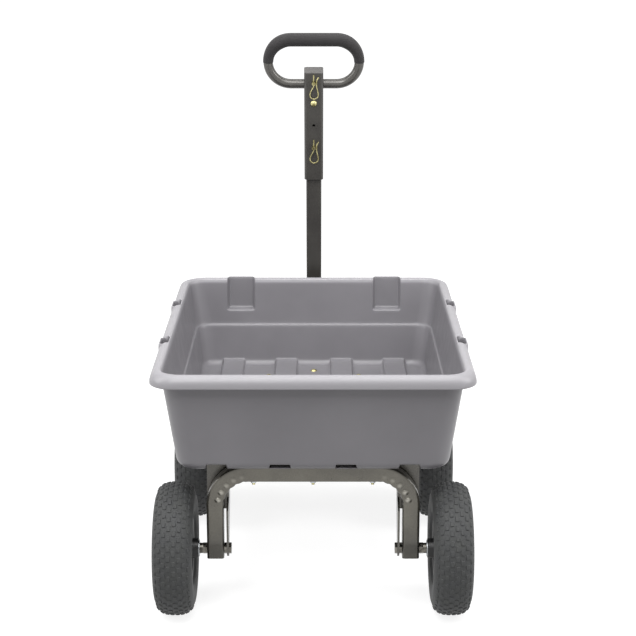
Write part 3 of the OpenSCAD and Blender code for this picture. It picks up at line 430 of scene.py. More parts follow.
BESIDE = [o * MM for o in (-12, -5, -1.6, 1.6, 5, 12)]
CLOSE = [o * MM for o in (-3, -0.9, 0.9, 3)]
FINEST = 0.7 * MM
LAST_X, WIDEST_X = 269 * MM, 40 * MM
LAST_Y, WIDEST_Y = 390 * MM, 45 * MM
rib_edges = sorted(c + s * h for c in RIBS for s in SIDES for h in (CHANNEL_HALF, RIB_HALF))
front_edges = [c + s * FRONT_POCKET_HALF for c in FRONT_POCKETS for s in SIDES]
side_edges = [c + s * SIDE_POCKET_HALF for c in SIDE_POCKETS for s in SIDES]
at_pockets = {e + o for e in front_edges for o in BESIDE if abs(e + o) < LAST_X}
lines_x = sorted(at_pockets.union(grid_lines(LAST_X, rib_edges, CLOSE, WIDEST_X, FINEST)))
lines_x = [x for i, x in enumerate(lines_x) if i == 0 or x - lines_x[i - 1] > FINEST]
lines_y = grid_lines(LAST_Y, side_edges, BESIDE, WIDEST_Y, FINEST)
print("grid lines:", len(lines_x), "by", len(lines_y))

# %% [markdown]
# A row of the section is a distance out from the wall's place at the rim, and a height.
# The rows of the rim also say where the same point goes in a side pocket, so that the rim dips into a pit.

# %% Heights of the rows, in mm
BELOW_STEP = (-40, -4)
# Share of the step's depth and rise from the step
STEP_ROWS = ((0.85, -0.6), (0.5, 0.6), (0.12, 1.4))
ABOVE_STEP = (5, 20)
LEDGE_ROWS = (-14, -4, -0.8, 0.8, 4, 14)
BELOW_RIM = (-30, -13)
BOSS_ROWS = (60, 14, 4, 0.8, -0.8)
# Out from the wall and down from the crest, then the same two in a side pocket
RIM_ROWS = [
    (-5, 9, -5, 9), (-4.6, 6.2, -4.6, 6.2), (-3.3, 3.7, -3.6, 3.2), (-1.3, 1.7, -2.4, 1.5),
    (1.2, 0.4, -1.2, 1.2), (4, 0, -0.3, 2.2), (5.2, 0.05, 0, 6), (6.4, 0.2, -11.8, 86),
    (7.4, 0.4, -10.8, 90), (8.4, 0.65, 3.4, 90), (10, 1.2, 4.6, 86), (12.5, 2.6, 17.8, 14),
    (14.4, 3.9, 20.4, 4.5), (16.3, 5.7, 21.4, 3), (19.4, 9.8, 22.6, 4.4), (21.8, 14.7, 23.4, 8),
    (23.5, 20.7, 23.9, 16), (24, 27, 24, 27)]
PIT_ROWS = slice(5, 13)
ROLL_SHARES = (0.85, 0.6, 0.35, 0.1)
UNDER_EDGE = 1 * MM
UNDER_RIM = 5 * MM
print("rim rows:", len(RIM_ROWS))


# %% Rows of the section, from the floor up the inside, over the rim and down the outside
def wall_out(z):
    """Draft of the outer wall: how far it stands from its place at the rim."""
    return -DRAFT * (RIM_Z - z)


def arc(out, z, radius, start, end, steps):
    """Points of a rounding in the section, angles in degrees from +out towards +z."""
    angles = [math.radians(start + (end - start) * i / steps) for i in range(steps + 1)]
    return [(out + radius * math.cos(a), z + radius * math.sin(a)) for a in angles]


def under_roll(share):
    """A point under the rim's oval roll, from its crest at share 0 to its skirt at share 1."""
    turn = math.radians(90 * (1 - share))
    return (CREST_OUT + (RIM_LIP - CREST_OUT - WALL) * math.cos(turn),
            RIM_Z - ROLL_DOWN + (ROLL_DOWN - WALL) * math.sin(turn))


def rows_at(level, rises):
    return [level + rise * MM for rise in rises]


inner_edge = TUB_EDGE - WALL
foot_z = FLOOR_Z + inner_edge
floor_out = wall_out(foot_z) - WALL - STEP_IN - inner_edge
low_rows = [foot_z + inner_edge, *rows_at(STEP_Z, BELOW_STEP)]
high_rows = [*rows_at(STEP_Z, ABOVE_STEP), *rows_at(POCKET_Z, LEDGE_ROWS), *rows_at(RIM_Z, BELOW_RIM)]
inner = arc(floor_out, foot_z, inner_edge, start=-90, end=0, steps=5)[1:]
inner += [(wall_out(z) - WALL - STEP_IN, z) for z in low_rows]
inner += [(wall_out(STEP_Z) - WALL - share * STEP_IN, STEP_Z + rise * MM) for share, rise in STEP_ROWS]
inner += [(wall_out(z) - WALL, z) for z in high_rows]
skirt_z = RIM_Z - RIM_DROP
lip_z = skirt_z + WALL / 2
rim = [(out * MM, RIM_Z - drop * MM, pit_out * MM, RIM_Z - pit_drop * MM)
       for out, drop, pit_out, pit_drop in RIM_ROWS]
rim += [(RIM_LIP, lip_z, RIM_LIP, lip_z)]
under_z = RIM_Z - WALL - UNDER_RIM
outer = arc(RIM_LIP - WALL / 2, lip_z, WALL / 2, start=-30, end=-180, steps=4)
outer += [under_roll(share) for share in ROLL_SHARES]
outer += [(UNDER_EDGE, RIM_Z - WALL - UNDER_EDGE)]
outer += [(wall_out(z), z) for z in (under_z, skirt_z, POCKET_Z, STEP_Z, *rows_at(BOSS_Z, BOSS_ROWS))]
base_out = wall_out(tray_low.z + TUB_EDGE) - TUB_EDGE
outer += arc(base_out, tray_low.z + TUB_EDGE, TUB_EDGE, start=0, end=-90, steps=6)
print("section rows:", len(inner) + len(rim) + len(outer))

# %% [markdown]
# Each vertex keeps the numbers of its two grid lines in layers of the mesh, and an extruded vertex inherits
# them. So one function can place any vertex of any row: round a corner, over a rib or into a pocket.
# A third layer marks the rim for a painted highlight that makes it paler; the pits and the front pockets'
# lips are left out, so they stay darker as painted shade.


# %% Where a grid line's vertex goes in a given row
def on_line(index, lines, limit):
    """A line's straight place and its share of the way round a corner."""
    k = index - CORNER_STEPS
    if k <= 0:
        return -limit, k / CORNER_STEPS
    if k > len(lines):
        return limit, (k - len(lines) - 1) / CORNER_STEPS
    return lines[k - 1], 0.0


def pocket_share(i, j, wider, edge):
    """1 inside a stake pocket's length, 0 outside, for a vertex of the wall."""
    if i in (0, LAST_I):
        y, _ = on_line(j, lines_y, 0)
        return max(step(SIDE_POCKET_HALF + wider - abs(y - p), -edge, edge) for p in SIDE_POCKETS)
    if j == LAST_J:
        x, _ = on_line(i, lines_x, 0)
        return max(step(FRONT_POCKET_HALF + wider - abs(x - p), -edge, edge) for p in FRONT_POCKETS)
    return 0.0


def in_pocket(i, j, row, skin):
    """Where the stake pockets and their bosses put a row's point."""
    out, z, *pit = row
    if skin == "outer":
        share = pocket_share(i, j, BOSS_SKIN, BOSS_EDGE) * step(z, BOSS_Z - LEDGE_EDGE, BOSS_Z + LEDGE_EDGE)
        face = POCKET_D - POCKET_DRAFT * (RIM_Z - WALL - z)
        put = max(out, min(face, RIM_LIP - WALL - BOSS_GAP))
        z += share * min(RIM_Z - PIT_ROOF - z, 0)
        return out + share * (put - out), z
    share = pocket_share(i, j, 0, POCKET_EDGE)
    if i in (0, LAST_I):
        put, sunk = pit or (out, z)
        return out + share * (put - out), z + share * (sunk - z)
    face = POCKET_D - WALL - POCKET_DRAFT * (RIM_Z - z)
    put = face + max(out + WALL, 0) * (RIM_LIP - face) / (RIM_LIP + WALL)
    share *= step(z, POCKET_Z - LEDGE_EDGE, POCKET_Z + LEDGE_EDGE)
    return out + share * (put - out), z


def place_tray(vert, row, skin):
    """Puts a vertex on its grid lines in a row of the section."""
    i, j = vert[line_i], vert[line_j]
    out, level = row[:2]
    moved, z = in_pocket(i, j, row, skin)
    on_side = i in (0, LAST_I)
    if on_side:
        moved += (RIM_BULGE * pocket_share(i, j, 0, BULGE_EDGE)
                  * step(out, RIM_LIP / 2, RIM_LIP - BULGE_END))
    # Painted highlight on the rim, left out in the pits and the front pockets' lips so they stay darker as
    # painted shade.
    slotted = pocket_share(i, j, BOSS_SKIN, BOSS_EDGE) * (not on_side or row in rim[PIT_ROWS])
    vert[painted_highlight] = (1 - slotted) * (skin == "rim")
    radius = TUB_CORNER + max(min(out - wall_out(level), RIM_CORNER - TUB_CORNER), -TUB_EDGE)
    x, a = on_line(i, lines_x, TOP_HALF.x + moved - radius)
    y, b = on_line(j, lines_y, TOP_HALF.y + moved - radius)
    if skin == "outer":
        half, edge, low = CHANNEL_HALF, CHANNEL_EDGE, tray_low.z
    else:
        half, edge, low = RIB_HALF, RIB_EDGE, FLOOR_Z
    raised = RIB_H * max(step(half - abs(x - c), -edge, edge) for c in RIBS)
    vert.co = (
        TRAY_MID.x + x + radius * a * math.sqrt(1 - b * b / 2),
        TRAY_MID.y + y + radius * b * math.sqrt(1 - a * a / 2),
        z + raised * (1 - step(z, low, low + RIB_FADE)),
    )


print("tray rows ready")

# %% Grow the tray from its floor grid
bm = bmesh.new()
line_i = bm.verts.layers.int.new("line_i")
line_j = bm.verts.layers.int.new("line_j")
painted_highlight = bm.verts.layers.float.new("painted_highlight")
LAST_I = len(lines_x) + 2 * CORNER_STEPS + 1
LAST_J = len(lines_y) + 2 * CORNER_STEPS + 1
bmesh.ops.create_grid(bm, x_segments=LAST_I, y_segments=LAST_J, size=1)
for vert in bm.verts:
    vert[line_i] = round((vert.co.x + 1) / 2 * LAST_I)
    vert[line_j] = round((vert.co.y + 1) / 2 * LAST_J)
loop = [e for e in bm.edges if e.is_boundary]
under = set(verts_of(bmesh.ops.duplicate(bm, geom=bm.faces[:])["geom"]))
for vert in bm.verts:
    if vert in under:
        place_tray(vert, (base_out, tray_low.z), "outer")
    else:
        place_tray(vert, (floor_out, FLOOR_Z), "inner")
for skin, rows in (("inner", inner), ("rim", rim), ("outer", outer)):
    for row in rows:
        loop, moved = grow(bm, loop)
        for vert in moved:
            place_tray(vert, row, skin)
bmesh.ops.remove_doubles(bm, verts=bm.verts, dist=MERGE)
bmesh.ops.recalc_face_normals(bm, faces=bm.faces)
open_edges = sum(e.is_boundary for e in bm.edges)
tray = piece("tray_moulding", bm, "tray", TRAY_POLY, ["tray"], crisp=180)
rounding = tray.modifiers.new("Rounding", "SUBSURF")
rounding.levels = rounding.render_levels = 1
print("tray open edges:", open_edges)

# %% [markdown]
# The two inner channels end at a low sill, which leaves only a slot in the wall.
# Each sill is the wall's own rounded foot, drawn as a section and extruded across the channel.

# %% Sills across the ends of the inner channels
SILL_H = 5 * MM
SILL_TURN = -52
sill_z = tray_low.z + SILL_H
foot = arc(base_out, tray_low.z + TUB_EDGE, TUB_EDGE, start=-90, end=SILL_TURN, steps=6)
foot = [(out, z) for out, z in foot if z <= sill_z]
section = [(base_out, sill_z), *foot, (foot[-1][0], sill_z)]
bm = bmesh.new()
for rib in RIBS[1:3]:
    for end in SIDES:
        ring = [(rib - CHANNEL_HALF, TRAY_MID.y + end * (TOP_HALF.y + out), z) for out, z in section]
        face = bm.faces.new([bm.verts.new(corner) for corner in ring])
        strip = bmesh.ops.extrude_face_region(bm, geom=[face])["geom"]
        bmesh.ops.translate(bm, vec=(2 * CHANNEL_HALF, 0, 0), verts=verts_of(strip))
bmesh.ops.recalc_face_normals(bm, faces=bm.faces)
piece("channel_sills", bm, "tray", TRAY_POLY, None, crisp=30)

# %% [markdown]
# ## The arch
# The arch is one square tube bent cold into a U. Cold bending crushes the inner wall, which folds into a row
# of ripples that bulge on the tube's sides, most near the leg. A plain CAD bend has none, so the arch
# is drawn again: a rounded square is extruded up a leg, spun round the bend and extruded to the
# middle, the inside of the bend is rippled by moving its vertices, and a mirror makes the other half.
# The mesh keeps an attribute of how far each lump bulges, which the enamel reads to paint a highlight on the
# lumps.

# %% Arch sizes
arch_low, arch_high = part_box("arch")
ARCH_TUBE = 42 * MM
ARCH_EDGE = 6 * MM
ARCH_WALL = 3 * MM
ARCH_BEND = 85 * MM
BEND_TURN = 90
BEND_STEPS = 72
SIDE_CUTS = 11
# How strongly each wrinkle of the bend bulges, from the leg up to the bar
RIPPLES = [1, 0.85, 0.6, 0.45, 0.3]
RIPPLE_SPAN = 80
RIPPLE_RISE = 3.4 * MM
RIPPLE_SHARP = 1.5
END_FADE = (2, 14)
CRUSH_R = ARCH_BEND - ARCH_TUBE / 2 + 14 * MM
CRUSH_FADE = 12 * MM
CRUSH_POWER = 4
LUMP_RISE = 3.6 * MM
LUMP_IN = 6 * MM
LUMP_R = 8.5 * MM
LUMP_FADE = (0.5, 0.95)
LUMP_HIGHLIGHT = 0.7
leg_x = arch_high.x - ARCH_TUBE / 2
arch_y = (arch_low.y + arch_high.y) / 2
bend_z = arch_high.z - ARCH_TUBE / 2 - ARCH_BEND
bend_x = leg_x - ARCH_BEND
print("arch legs at", round(leg_x, 4))


# %% Arch
def ripple(vert):
    """Moves a vertex of the bend as the crushed inner wall does."""
    across, up = vert.co.x - bend_x, vert.co.z - bend_z
    radius = math.hypot(across, up)
    turn = math.degrees(math.atan2(up, across))
    if not 0 < turn < BEND_TURN:
        return
    from_mid = turn - BEND_TURN / 2
    ends = step(turn, *END_FADE) * step(BEND_TURN - turn, *END_FADE)
    side = (vert.co.y - arch_y) / (ARCH_TUBE / 2)
    pitch = RIPPLE_SPAN / len(RIPPLES)
    count, beside = divmod(from_mid + RIPPLE_SPAN / 2, pitch)
    strength = RIPPLES[min(max(int(count), 0), len(RIPPLES) - 1)]
    along = math.radians(beside - pitch / 2) * radius
    off = math.hypot(along, radius - ARCH_BEND + LUMP_IN) / LUMP_R
    lump = strength * max(1 - off * off, 0) * ends * step(abs(side), *LUMP_FADE)
    vert.co.y += math.copysign(LUMP_RISE, side) * lump
    # Painted highlight: the lump's crest is marked for a paler colour.
    vert[painted_highlight] = LUMP_HIGHLIGHT * step(lump, 0, 1)
    wave = (0.5 + 0.5 * math.cos(2 * math.pi * from_mid / pitch)) ** RIPPLE_SHARP
    crush = RIPPLE_RISE * step(CRUSH_R - radius, 0, CRUSH_FADE) * ends * wave * (1 - side**CRUSH_POWER)
    vert.co.x += crush * across / radius
    vert.co.z += crush * up / radius


bm = bmesh.new()
painted_highlight = bm.verts.layers.float.new("painted_highlight")
bmesh.ops.create_grid(bm, x_segments=1, y_segments=1, size=ARCH_TUBE / 2,
                      matrix=Matrix.Translation((leg_x, arch_y, arch_low.z)))
bmesh.ops.bevel(bm, geom=bm.verts[:], offset=ARCH_EDGE, offset_type="OFFSET", segments=4, profile=0.5,
                affect="VERTICES", material=-1)
bmesh.ops.delete(bm, geom=bm.faces[:], context="FACES_ONLY")
sides = [e for e in bm.edges if e.calc_length() > ARCH_TUBE / 2]
bmesh.ops.subdivide_edges(bm, edges=sides, cuts=SIDE_CUTS)
section, moved = grow(bm, bm.edges[:])
bmesh.ops.translate(bm, vec=(0, 0, bend_z - arch_low.z), verts=moved)
bent = bmesh.ops.spin(bm, geom=section, cent=(bend_x, arch_y, bend_z), axis=(0, -1, 0),
                      angle=math.radians(BEND_TURN), steps=BEND_STEPS, use_merge=False)["geom_last"]
_, moved = grow(bm, edges_of(bent))
for vert in moved:
    vert.co.x = 0.0
for vert in bm.verts:
    ripple(vert)
bmesh.ops.mirror(bm, geom=bm.verts[:] + bm.edges[:] + bm.faces[:], axis="X", merge_dist=MERGE)
bmesh.ops.remove_doubles(bm, verts=bm.verts, dist=MERGE)
bmesh.ops.recalc_face_normals(bm, faces=bm.faces)
arch_tube = piece("arch_tube", bm, "tray", ARCH_ENAMEL, ["arch"], crisp=50)
shell = arch_tube.modifiers.new("Tube wall", "SOLIDIFY")
shell.thickness = ARCH_WALL
shell.offset = -1.0

# %% [markdown]
# ## Tyres
# The tyres are small pneumatic ones with rows of low rubber blocks on a round carcass. The blocks could be
# a bump in the material, but the tyre's outline would then stay smooth, so they are geometry.
# The carcass is a profile spun about the axle, with two raised rings on each sidewall.
# Each row of blocks starts as one bevelled block, seated on the carcass and spun round as copies.

# %% Tyre sizes
tyre_low, tyre_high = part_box("rear_right_tyre")
AXLE = (1, 0, 0)
TYRE_R = (tyre_high.z - tyre_low.z) / 2
TYRE_HALF = (tyre_high.x - tyre_low.x) / 2
TYRE_STEPS = 96
BEAD_R = 77 * MM
BEAD_HALF = 35.5 * MM
SEAT_R = 76 * MM
SIDE_SKIN = 1.8 * MM
KNOB_H = 2.4 * MM
CARCASS_R = TYRE_R - KNOB_H
MID_SHARE = 0.47
MID_R = SEAT_R + (TYRE_R - SEAT_R) * MID_SHARE
CURVE = 0.74
# Radius and rise of the raised rings on a sidewall
RINGS = ((92 * MM, 1.8 * MM), (133 * MM, 1.2 * MM))
RING_W = 1.6 * MM
SECTION_FROM = -36
SECTION_SPAN = 252
SECTION_STEPS = 84
PITCHES = 42
# Place across in mm, share of a pitch, then width and length in mm of each row of blocks
KNOB_ROWS = [
    (6.5, 0.0, 10.5, 15), (-6.5, 0.5, 10.5, 15), (18.5, 0.4, 10, 14), (-18.5, 0.9, 10, 14),
    (30, 0.85, 10, 13), (-30, 0.35, 10, 13), (40, 0.35, 8, 13), (-40, 0.85, 8, 13)]
KNOB_SLIM = 0.84
KNOB_SINK = 0.3 * MM
KNOB_ROOT = 3 * MM
KNOB_BEVEL = 0.9 * MM
SEAT_TRIES = 40
SLOPE_STEP = 0.02
print("tyre radius", round(TYRE_R, 4), "blocks:", PITCHES * len(KNOB_ROWS))


# %% One tyre, axle along X at the origin
def spun(line, steps):
    """A closed section of places across and radii, spun once about the axle."""
    bm = bmesh.new()
    verts = [bm.verts.new((across, 0, radius)) for across, radius in line]
    chain = [bm.edges.new(pair) for pair in zip(verts, verts[1:] + verts[:1])]
    bmesh.ops.spin(bm, geom=verts + chain, cent=(0, 0, 0), axis=AXLE, angle=2 * math.pi, steps=steps,
                   use_merge=True)
    return bm


def carcass(angle):
    """Across and radius of the carcass at an angle of its section, 90 degrees at the crown."""
    bend_cos = math.copysign(abs(math.cos(angle)) ** CURVE, math.cos(angle))
    bend_sin = math.copysign(abs(math.sin(angle)) ** CURVE, math.sin(angle))
    reach = CARCASS_R - MID_R if bend_sin > 0 else MID_R - SEAT_R
    across = (TYRE_HALF - SIDE_SKIN) * bend_cos
    radius = MID_R + reach * bend_sin
    for ring, rise in RINGS:
        across += math.copysign(rise, bend_cos) * math.exp(-(((radius - ring) / RING_W) ** 2))
    return across, radius


def seat_of(across):
    """Carcass angle whose section point stands at a given distance across."""
    low, high = 0.0, math.pi
    for _ in range(SEAT_TRIES):
        middle = (low + high) / 2
        if carcass(middle)[0] > across:
            low = middle
        else:
            high = middle
    return (low + high) / 2


def add_knobs(bm, across, phase, width, length):
    """One row of blocks: a bevelled block seated on the carcass, then copied round the axle."""
    angle = seat_of(across)
    x, radius = carcass(angle)
    ahead = Vector(carcass(angle - SLOPE_STEP)) - Vector(carcass(angle + SLOPE_STEP))
    tilt = -math.atan2(ahead.y, ahead.x)
    made = bmesh.ops.create_cube(bm, size=1)["verts"]
    for vert in made:
        on_top = vert.co.z > 0
        slimmer = KNOB_SLIM if on_top else 1.0
        vert.co.x *= width * slimmer
        vert.co.y *= length * slimmer
        vert.co.z = KNOB_H - KNOB_SINK if on_top else -KNOB_ROOT
    block = list({e for v in made for e in v.link_edges})
    bevelled = bmesh.ops.bevel(bm, geom=block, offset=KNOB_BEVEL, offset_type="OFFSET", segments=1,
                               profile=0.5, affect="EDGES", material=-1)
    body = list({v for f in bevelled["faces"] for v in f.verts})
    turn = Matrix.Rotation(phase * 2 * math.pi / PITCHES, 4, "X")
    put = turn @ Matrix.Translation((x, 0, radius)) @ Matrix.Rotation(tilt, 4, "Y")
    bmesh.ops.transform(bm, matrix=put, verts=body)
    faces = list({f for v in body for f in v.link_faces})
    bmesh.ops.spin(bm, geom=faces, cent=(0, 0, 0), axis=AXLE, use_duplicate=True,
                   angle=2 * math.pi * (PITCHES - 1) / PITCHES, steps=PITCHES - 1)


def tyre_mesh():
    shares = [i / SECTION_STEPS for i in range(SECTION_STEPS + 1)]
    skin = [carcass(math.radians(SECTION_FROM + SECTION_SPAN * share)) for share in shares]
    bm = spun([(BEAD_HALF, BEAD_R), *skin, (-BEAD_HALF, BEAD_R)], TYRE_STEPS)
    for across, phase, width, length in KNOB_ROWS:
        add_knobs(bm, across * MM, phase, width * MM, length * MM)
    bmesh.ops.recalc_face_normals(bm, faces=bm.faces)
    return bm


print("tyre ready")

# %% [markdown]
# ## Rims
# The rims are black pressed steel: a rolled flange, bead seats, a drop well and a dished disc that carries
# the hub. They could be built up from cylinders, but a turned part is simplest as one closed profile that
# is spun about the axle. The bolt heads round the disc are six-sided cones.

# %% One rim, axle along X at the origin, outside towards +X
# Places across and radii in mm: half of the sheet's outer side, half of its inner side, then the disc
FLANGE = [(39, 84), (38, 85), (37, 85), (36, 84), (36, 76), (22, 76), (15, 60)]
SHEET_BACK = [(38.5, 77.5), (36, 74), (33, 73), (22, 73), (15, 57)]
DISC = [
    (9, 57), (5, 52), (5, 39), (9, 33), (11, 27), (14, 25), (27, 25), (28, 24), (28, 18),
    (-57, 18), (-57, 24), (-56, 25), (0, 25), (3, 27), (2, 35), (2, 52), (-13, 57)]
RIM_STEPS = 72
DISC_BOLTS = 4
DISC_BOLT_R = 42 * MM
BOLT_OUT = 4 * MM
BOLT_FOOT_R = 7 * MM
BOLT_TOP_R = 6.4 * MM
BOLT_LONG = 14 * MM
BOLT_BEVEL = 0.6 * MM


def rim_mesh():
    line = FLANGE + [(-x, r) for x, r in reversed(FLANGE)] + [(-x, r) for x, r in SHEET_BACK]
    line += DISC[::-1] + SHEET_BACK[::-1]
    bm = spun([(x * MM, r * MM) for x, r in line], RIM_STEPS)
    seat = Matrix.Translation((BOLT_OUT, 0, DISC_BOLT_R)) @ Matrix.Rotation(math.radians(90), 4, "Y")
    for i in range(DISC_BOLTS):
        turn = Matrix.Rotation(2 * math.pi * (i + 0.5) / DISC_BOLTS, 4, "X")
        head = bmesh.ops.create_cone(bm, cap_ends=True, segments=6, radius1=BOLT_FOOT_R, radius2=BOLT_TOP_R,
                                     depth=BOLT_LONG, matrix=turn @ seat)["verts"]
        edges = {e for v in head for e in v.link_edges}
        flat = [e for e in edges if abs((e.verts[0].co - e.verts[1].co).x) < MM]
        bmesh.ops.bevel(bm, geom=flat, offset=BOLT_BEVEL, offset_type="OFFSET", segments=1, profile=0.5,
                        affect="EDGES", material=-1)
    bmesh.ops.recalc_face_normals(bm, faces=bm.faces)
    return bm


print("rim ready")

# %% Put a tyre and a rim on each axle end
WHEEL_PIECES = [
    ("tyre", tyre_mesh, TYRE_RUBBER, "tyre_rubber"), ("rim", rim_mesh, BLACK_ENAMEL, "black_enamel")]
for corner in CORNERS:
    low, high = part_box(f"{corner}_tyre")
    centre = (low + high) / 2
    facing = Matrix.Rotation(math.pi, 4, "Z") if "left" in corner else Matrix.Identity(4)
    for kind, make, material, slot in WHEEL_PIECES:
        bm = make()
        bmesh.ops.transform(bm, matrix=Matrix.Translation(centre) @ facing, verts=bm.verts)
        piece(f"{corner}_{kind}_made", bm, f"{corner}_wheel", material, [f"{corner}_{kind}"], crisp=38)

# %% [markdown]
# ## Foam grip
# A foam tube is pushed over the upper half of the loop. A bevelled curve could make it, but it would end in
# a flat cut, and the foam thins there. So it is drawn as the loop is: a ring is spun round one end, run
# along the top and spun round the other, and both ends are thinned and rolled in to the steel tube.

# %% Grip sizes
joint_places = {j["name"]: Vector(j["pos_m"]) for j in frame["joints"] if j["type"] == "hinge"}
LEAN = math.radians(12)
HANDLE = Matrix.Translation(joint_places["handle_fold"]) @ Matrix.Rotation(LEAN, 4, "X")
LOOP_FOOT = 1045 * MM
LOOP_HALF_H = 64 * MM
LOOP_STRAIGHT = 63.5 * MM
LOOP_MID = LOOP_FOOT + LOOP_HALF_H
GRIP_R = 19 * MM
GRIP_END_R = 14.6 * MM
GRIP_SIDES = 32
GRIP_STEPS = 20
GRIP_RUNS = 6
SLIM_TURN = math.radians(70)
# Radius and drop in mm of the rows that roll an end in
END_ROLL = [(14.3, 0.8), (13.6, 1.2)]
print("grip middle at", [round(v, 4) for v in HANDLE @ Vector((0, 0, LOOP_MID))])


# %% Foam grip
def slim(vert):
    """Thins the foam towards its ends, round the loop's own middle line."""
    side = math.copysign(1, vert.co.x)
    across, up = vert.co.x * side - LOOP_STRAIGHT, vert.co.z - LOOP_MID
    if across <= 0:
        return
    turn = math.atan2(up, across)
    out = LOOP_STRAIGHT + LOOP_HALF_H * math.cos(turn)
    middle = Vector((side * out, 0, LOOP_MID + LOOP_HALF_H * math.sin(turn)))
    thick = GRIP_END_R + (GRIP_R - GRIP_END_R) * step(turn, 0, SLIM_TURN)
    vert.co = middle + (vert.co - middle) * thick / GRIP_R


def quarter_turn(bm, edges, x):
    """Spins a ring a quarter turn round one end of the loop; returns the last ring."""
    made = bmesh.ops.spin(bm, geom=edges, cent=(x, 0, LOOP_MID), axis=(0, -1, 0), angle=math.radians(90),
                          steps=GRIP_STEPS, use_merge=False)
    return edges_of(made["geom_last"])


bm = bmesh.new()
start = Vector((LOOP_STRAIGHT + LOOP_HALF_H, 0, LOOP_MID))
end = Vector((-start.x, 0, LOOP_MID))
bmesh.ops.create_circle(bm, cap_ends=False, segments=GRIP_SIDES, radius=GRIP_R,
                        matrix=Matrix.Translation(start))
first = bm.edges[:]
last = quarter_turn(bm, first, LOOP_STRAIGHT)
for _ in range(GRIP_RUNS):
    last, moved = grow(bm, last)
    bmesh.ops.translate(bm, vec=(-2 * LOOP_STRAIGHT / GRIP_RUNS, 0, 0), verts=moved)
last = quarter_turn(bm, last, -LOOP_STRAIGHT)
for vert in bm.verts:
    slim(vert)
for ring, middle in ((first, start), (last, end)):
    for rolled, drop in END_ROLL:
        ring, moved = grow(bm, ring)
        for vert in moved:
            flat = (vert.co - middle).to_2d().normalized() * rolled * MM
            vert.co = middle + Vector((flat.x, flat.y, -drop * MM))
bmesh.ops.recalc_face_normals(bm, faces=bm.faces)
bmesh.ops.transform(bm, matrix=HANDLE, verts=bm.verts)
grip = piece("foam_grip_tube", bm, "handle", GRIP_FOAM, ["foam_grip"], crisp=180)
print("grip spans", [round(v, 3) for v in grip.dimensions])

# %% [markdown]
# ## Spring clips
# Each hitch pin is kept in by a clip of yellow-plated spring wire: one leg goes through the pin, and the
# wire opens into a pear-shaped eye. Its bends share no centre, so it isn't spun as the grip is:
# a round-bevelled curve follows the wire, then becomes a mesh.

# %% Spring clips
WIRE_R = 1.5 * MM
CLIP_BACK = 35 * MM
LOWER_PIN = 866 * MM
UPPER_PIN = 1058 * MM
# Across and down from the pin, in mm, along the wire
CLIP_LINE = [
    (0, -24), (0, -10), (0, 0), (0, 9), (-3.5, 16), (-8.5, 26), (-10.5, 35), (-7.1, 43.1), (1, 46.5),
    (9.1, 43.1), (12.5, 35), (11.6, 26), (9.2, 16), (8, 9), (8, 0), (8.2, -6), (10.6, -12), (14, -17)]


def wire_clip(name, pin_up, body):
    curve = bpy.data.curves.new(name, "CURVE")
    curve.dimensions = "3D"
    curve.bevel_depth = WIRE_R
    curve.bevel_resolution = 3
    curve.resolution_u = 6
    curve.use_fill_caps = True
    spline = curve.splines.new("BEZIER")
    spline.bezier_points.add(len(CLIP_LINE) - 1)
    for point, (across, down) in zip(spline.bezier_points, CLIP_LINE):
        point.co = HANDLE @ Vector((across * MM, -CLIP_BACK, pin_up - down * MM))
        point.handle_left_type = point.handle_right_type = "AUTO"
    carrier = bpy.data.objects.new(name + "_line", curve)
    mesh = bpy.data.meshes.new_from_object(carrier)
    bm = bmesh.new()
    bm.from_mesh(mesh)
    bpy.data.objects.remove(carrier)
    bpy.data.meshes.remove(mesh)
    bmesh.ops.recalc_face_normals(bm, faces=bm.faces)
    piece(name, bm, body, YELLOW_ZINC, [body], crisp=50)


wire_clip("upper_wire_clip", UPPER_PIN, "upper_clip")
wire_clip("lower_wire_clip", LOWER_PIN, "lower_clip")

# %% [markdown]
# ## Stage
# A wide pale floor takes the cart's soft shadow. It runs past the top of the picture, so it is the whole
# background and no backdrop is needed. A floor that is lit to white would also light the cart from below,
# so its last lift is an emission that only the camera and mirrors see.

# %% Floor
FLOOR_HALF = 60


def looked_at(tree):
    """1 where the camera looks, straight or in a mirror or through glass, and 0 for other light."""
    rays = add(tree, "ShaderNodeLightPath").outputs
    seen = add(tree, "ShaderNodeMath", {0: rays["Is Camera Ray"], 1: rays["Is Glossy Ray"]},
               operation="MAXIMUM")
    seen = add(tree, "ShaderNodeMath", {0: seen.outputs["Value"], 1: rays["Is Transmission Ray"]},
               operation="MAXIMUM")
    return seen.outputs["Value"]


def studio_floor():
    material, tree, surface, place = finish(
        "studio_floor", Base_Color=linear("#a4a4a4"), Roughness=1.0, Specular_IOR_Level=0.0,
        Emission_Color=(1, 1, 1, 1))
    away = add(tree, "ShaderNodeVectorMath", {0: place}, operation="LENGTH")
    level = add(tree, "ShaderNodeMapRange", {
        "Value": away.outputs["Value"], "From Min": 0.9, "From Max": 3.0, "To Min": 0.84, "To Max": 1.0})
    lift = add(tree, "ShaderNodeMath", {0: looked_at(tree), 1: level.outputs["Result"]},
               operation="MULTIPLY")
    shade(tree, surface, Emission_Strength=lift.outputs["Value"])
    return material


bm = bmesh.new()
bmesh.ops.create_grid(bm, x_segments=1, y_segments=1, size=FLOOR_HALF)
floor_mesh = bpy.data.meshes.new("studio_floor")
bm.to_mesh(floor_mesh)
bm.free()
floor_mesh.materials.append(studio_floor())
floor = bpy.data.objects.new("studio_floor", floor_mesh)
bpy.context.scene.collection.objects.link(floor)
print("floor:", floor.name)

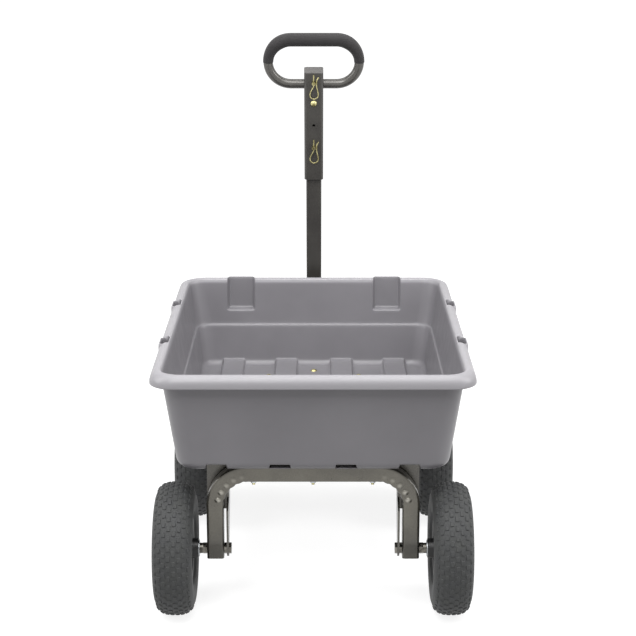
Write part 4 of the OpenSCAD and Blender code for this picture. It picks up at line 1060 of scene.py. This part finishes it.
# %% [markdown]
# ## Light
# A large softbox hangs overhead and another behind it, so the rim and the tops of the ribs are the brightest
# parts. A smaller one, lower and further back, lights the rear faces, and two tall ones stand left and right
# and draw a pale edge down each corner.
# The world gives an even fill, and is white where the camera or a mirror-like surface sees it.

# %% Lamps and world
# Name, place and aim in metres, width, height and watts
LAMPS = [
    ("overhead_softbox", (0, -0.3, 3.4), (0, 0, 0.4), 3.2, 2.8, 72),
    ("rear_softbox", (0, -2.5, 4.2), (0, -0.4, 0.6), 3.0, 1.8, 74),
    ("low_rear_softbox", (-1.2, -4.2, 4.0), (0, 0, 0.4), 1.2, 0.9, 56),
    ("left_softbox", (-2.8, -0.6, 2.4), (0, 0, 0.5), 1.2, 2.4, 40),
    ("right_softbox", (2.8, -0.6, 2.4), (0, 0, 0.5), 1.2, 2.4, 48)]
for name, place, aim, width, height, watts in LAMPS:
    lamp = bpy.data.lights.new(name, "AREA")
    lamp.shape = "RECTANGLE"
    lamp.size = width
    lamp.size_y = height
    lamp.energy = watts
    made = bpy.data.objects.new(name, lamp)
    made.location = place
    made.rotation_euler = (Vector(aim) - Vector(place)).to_track_quat("-Z", "Y").to_euler()
    bpy.context.scene.collection.objects.link(made)
world = bpy.data.worlds.new("studio_fill")
bpy.context.scene.world = world
world.use_nodes = True
fill = world.node_tree.nodes["Background"]
fill.inputs["Color"].default_value = (1, 1, 1, 1)
level = add(world.node_tree, "ShaderNodeMapRange", {
    "Value": looked_at(world.node_tree), "To Min": 0.3, "To Max": 1.0})
shade(world.node_tree, fill, Strength=level.outputs["Result"])
bpy.context.scene.view_settings.view_transform = "Standard"
print("lamps:", len(LAMPS), "world:", world.name)

# %% [markdown]
# ## Camera
# The photograph was taken from behind the cart with a long lens, a little above the rim and square to
# the tray.

# %% Camera
PITCH = math.radians(14.77)
EYE = (0.012, -4.323, 1.7716)
camera = bpy.data.cameras.new("camera")
camera.lens = 94.4
camera.sensor_width = 36
camera.clip_end = 200
eye = bpy.data.objects.new("camera", camera)
eye.location = EYE
eye.rotation_euler = (math.pi / 2 - PITCH, 0, 0)
bpy.context.scene.collection.objects.link(eye)
bpy.context.scene.camera = eye
print("camera at", EYE)
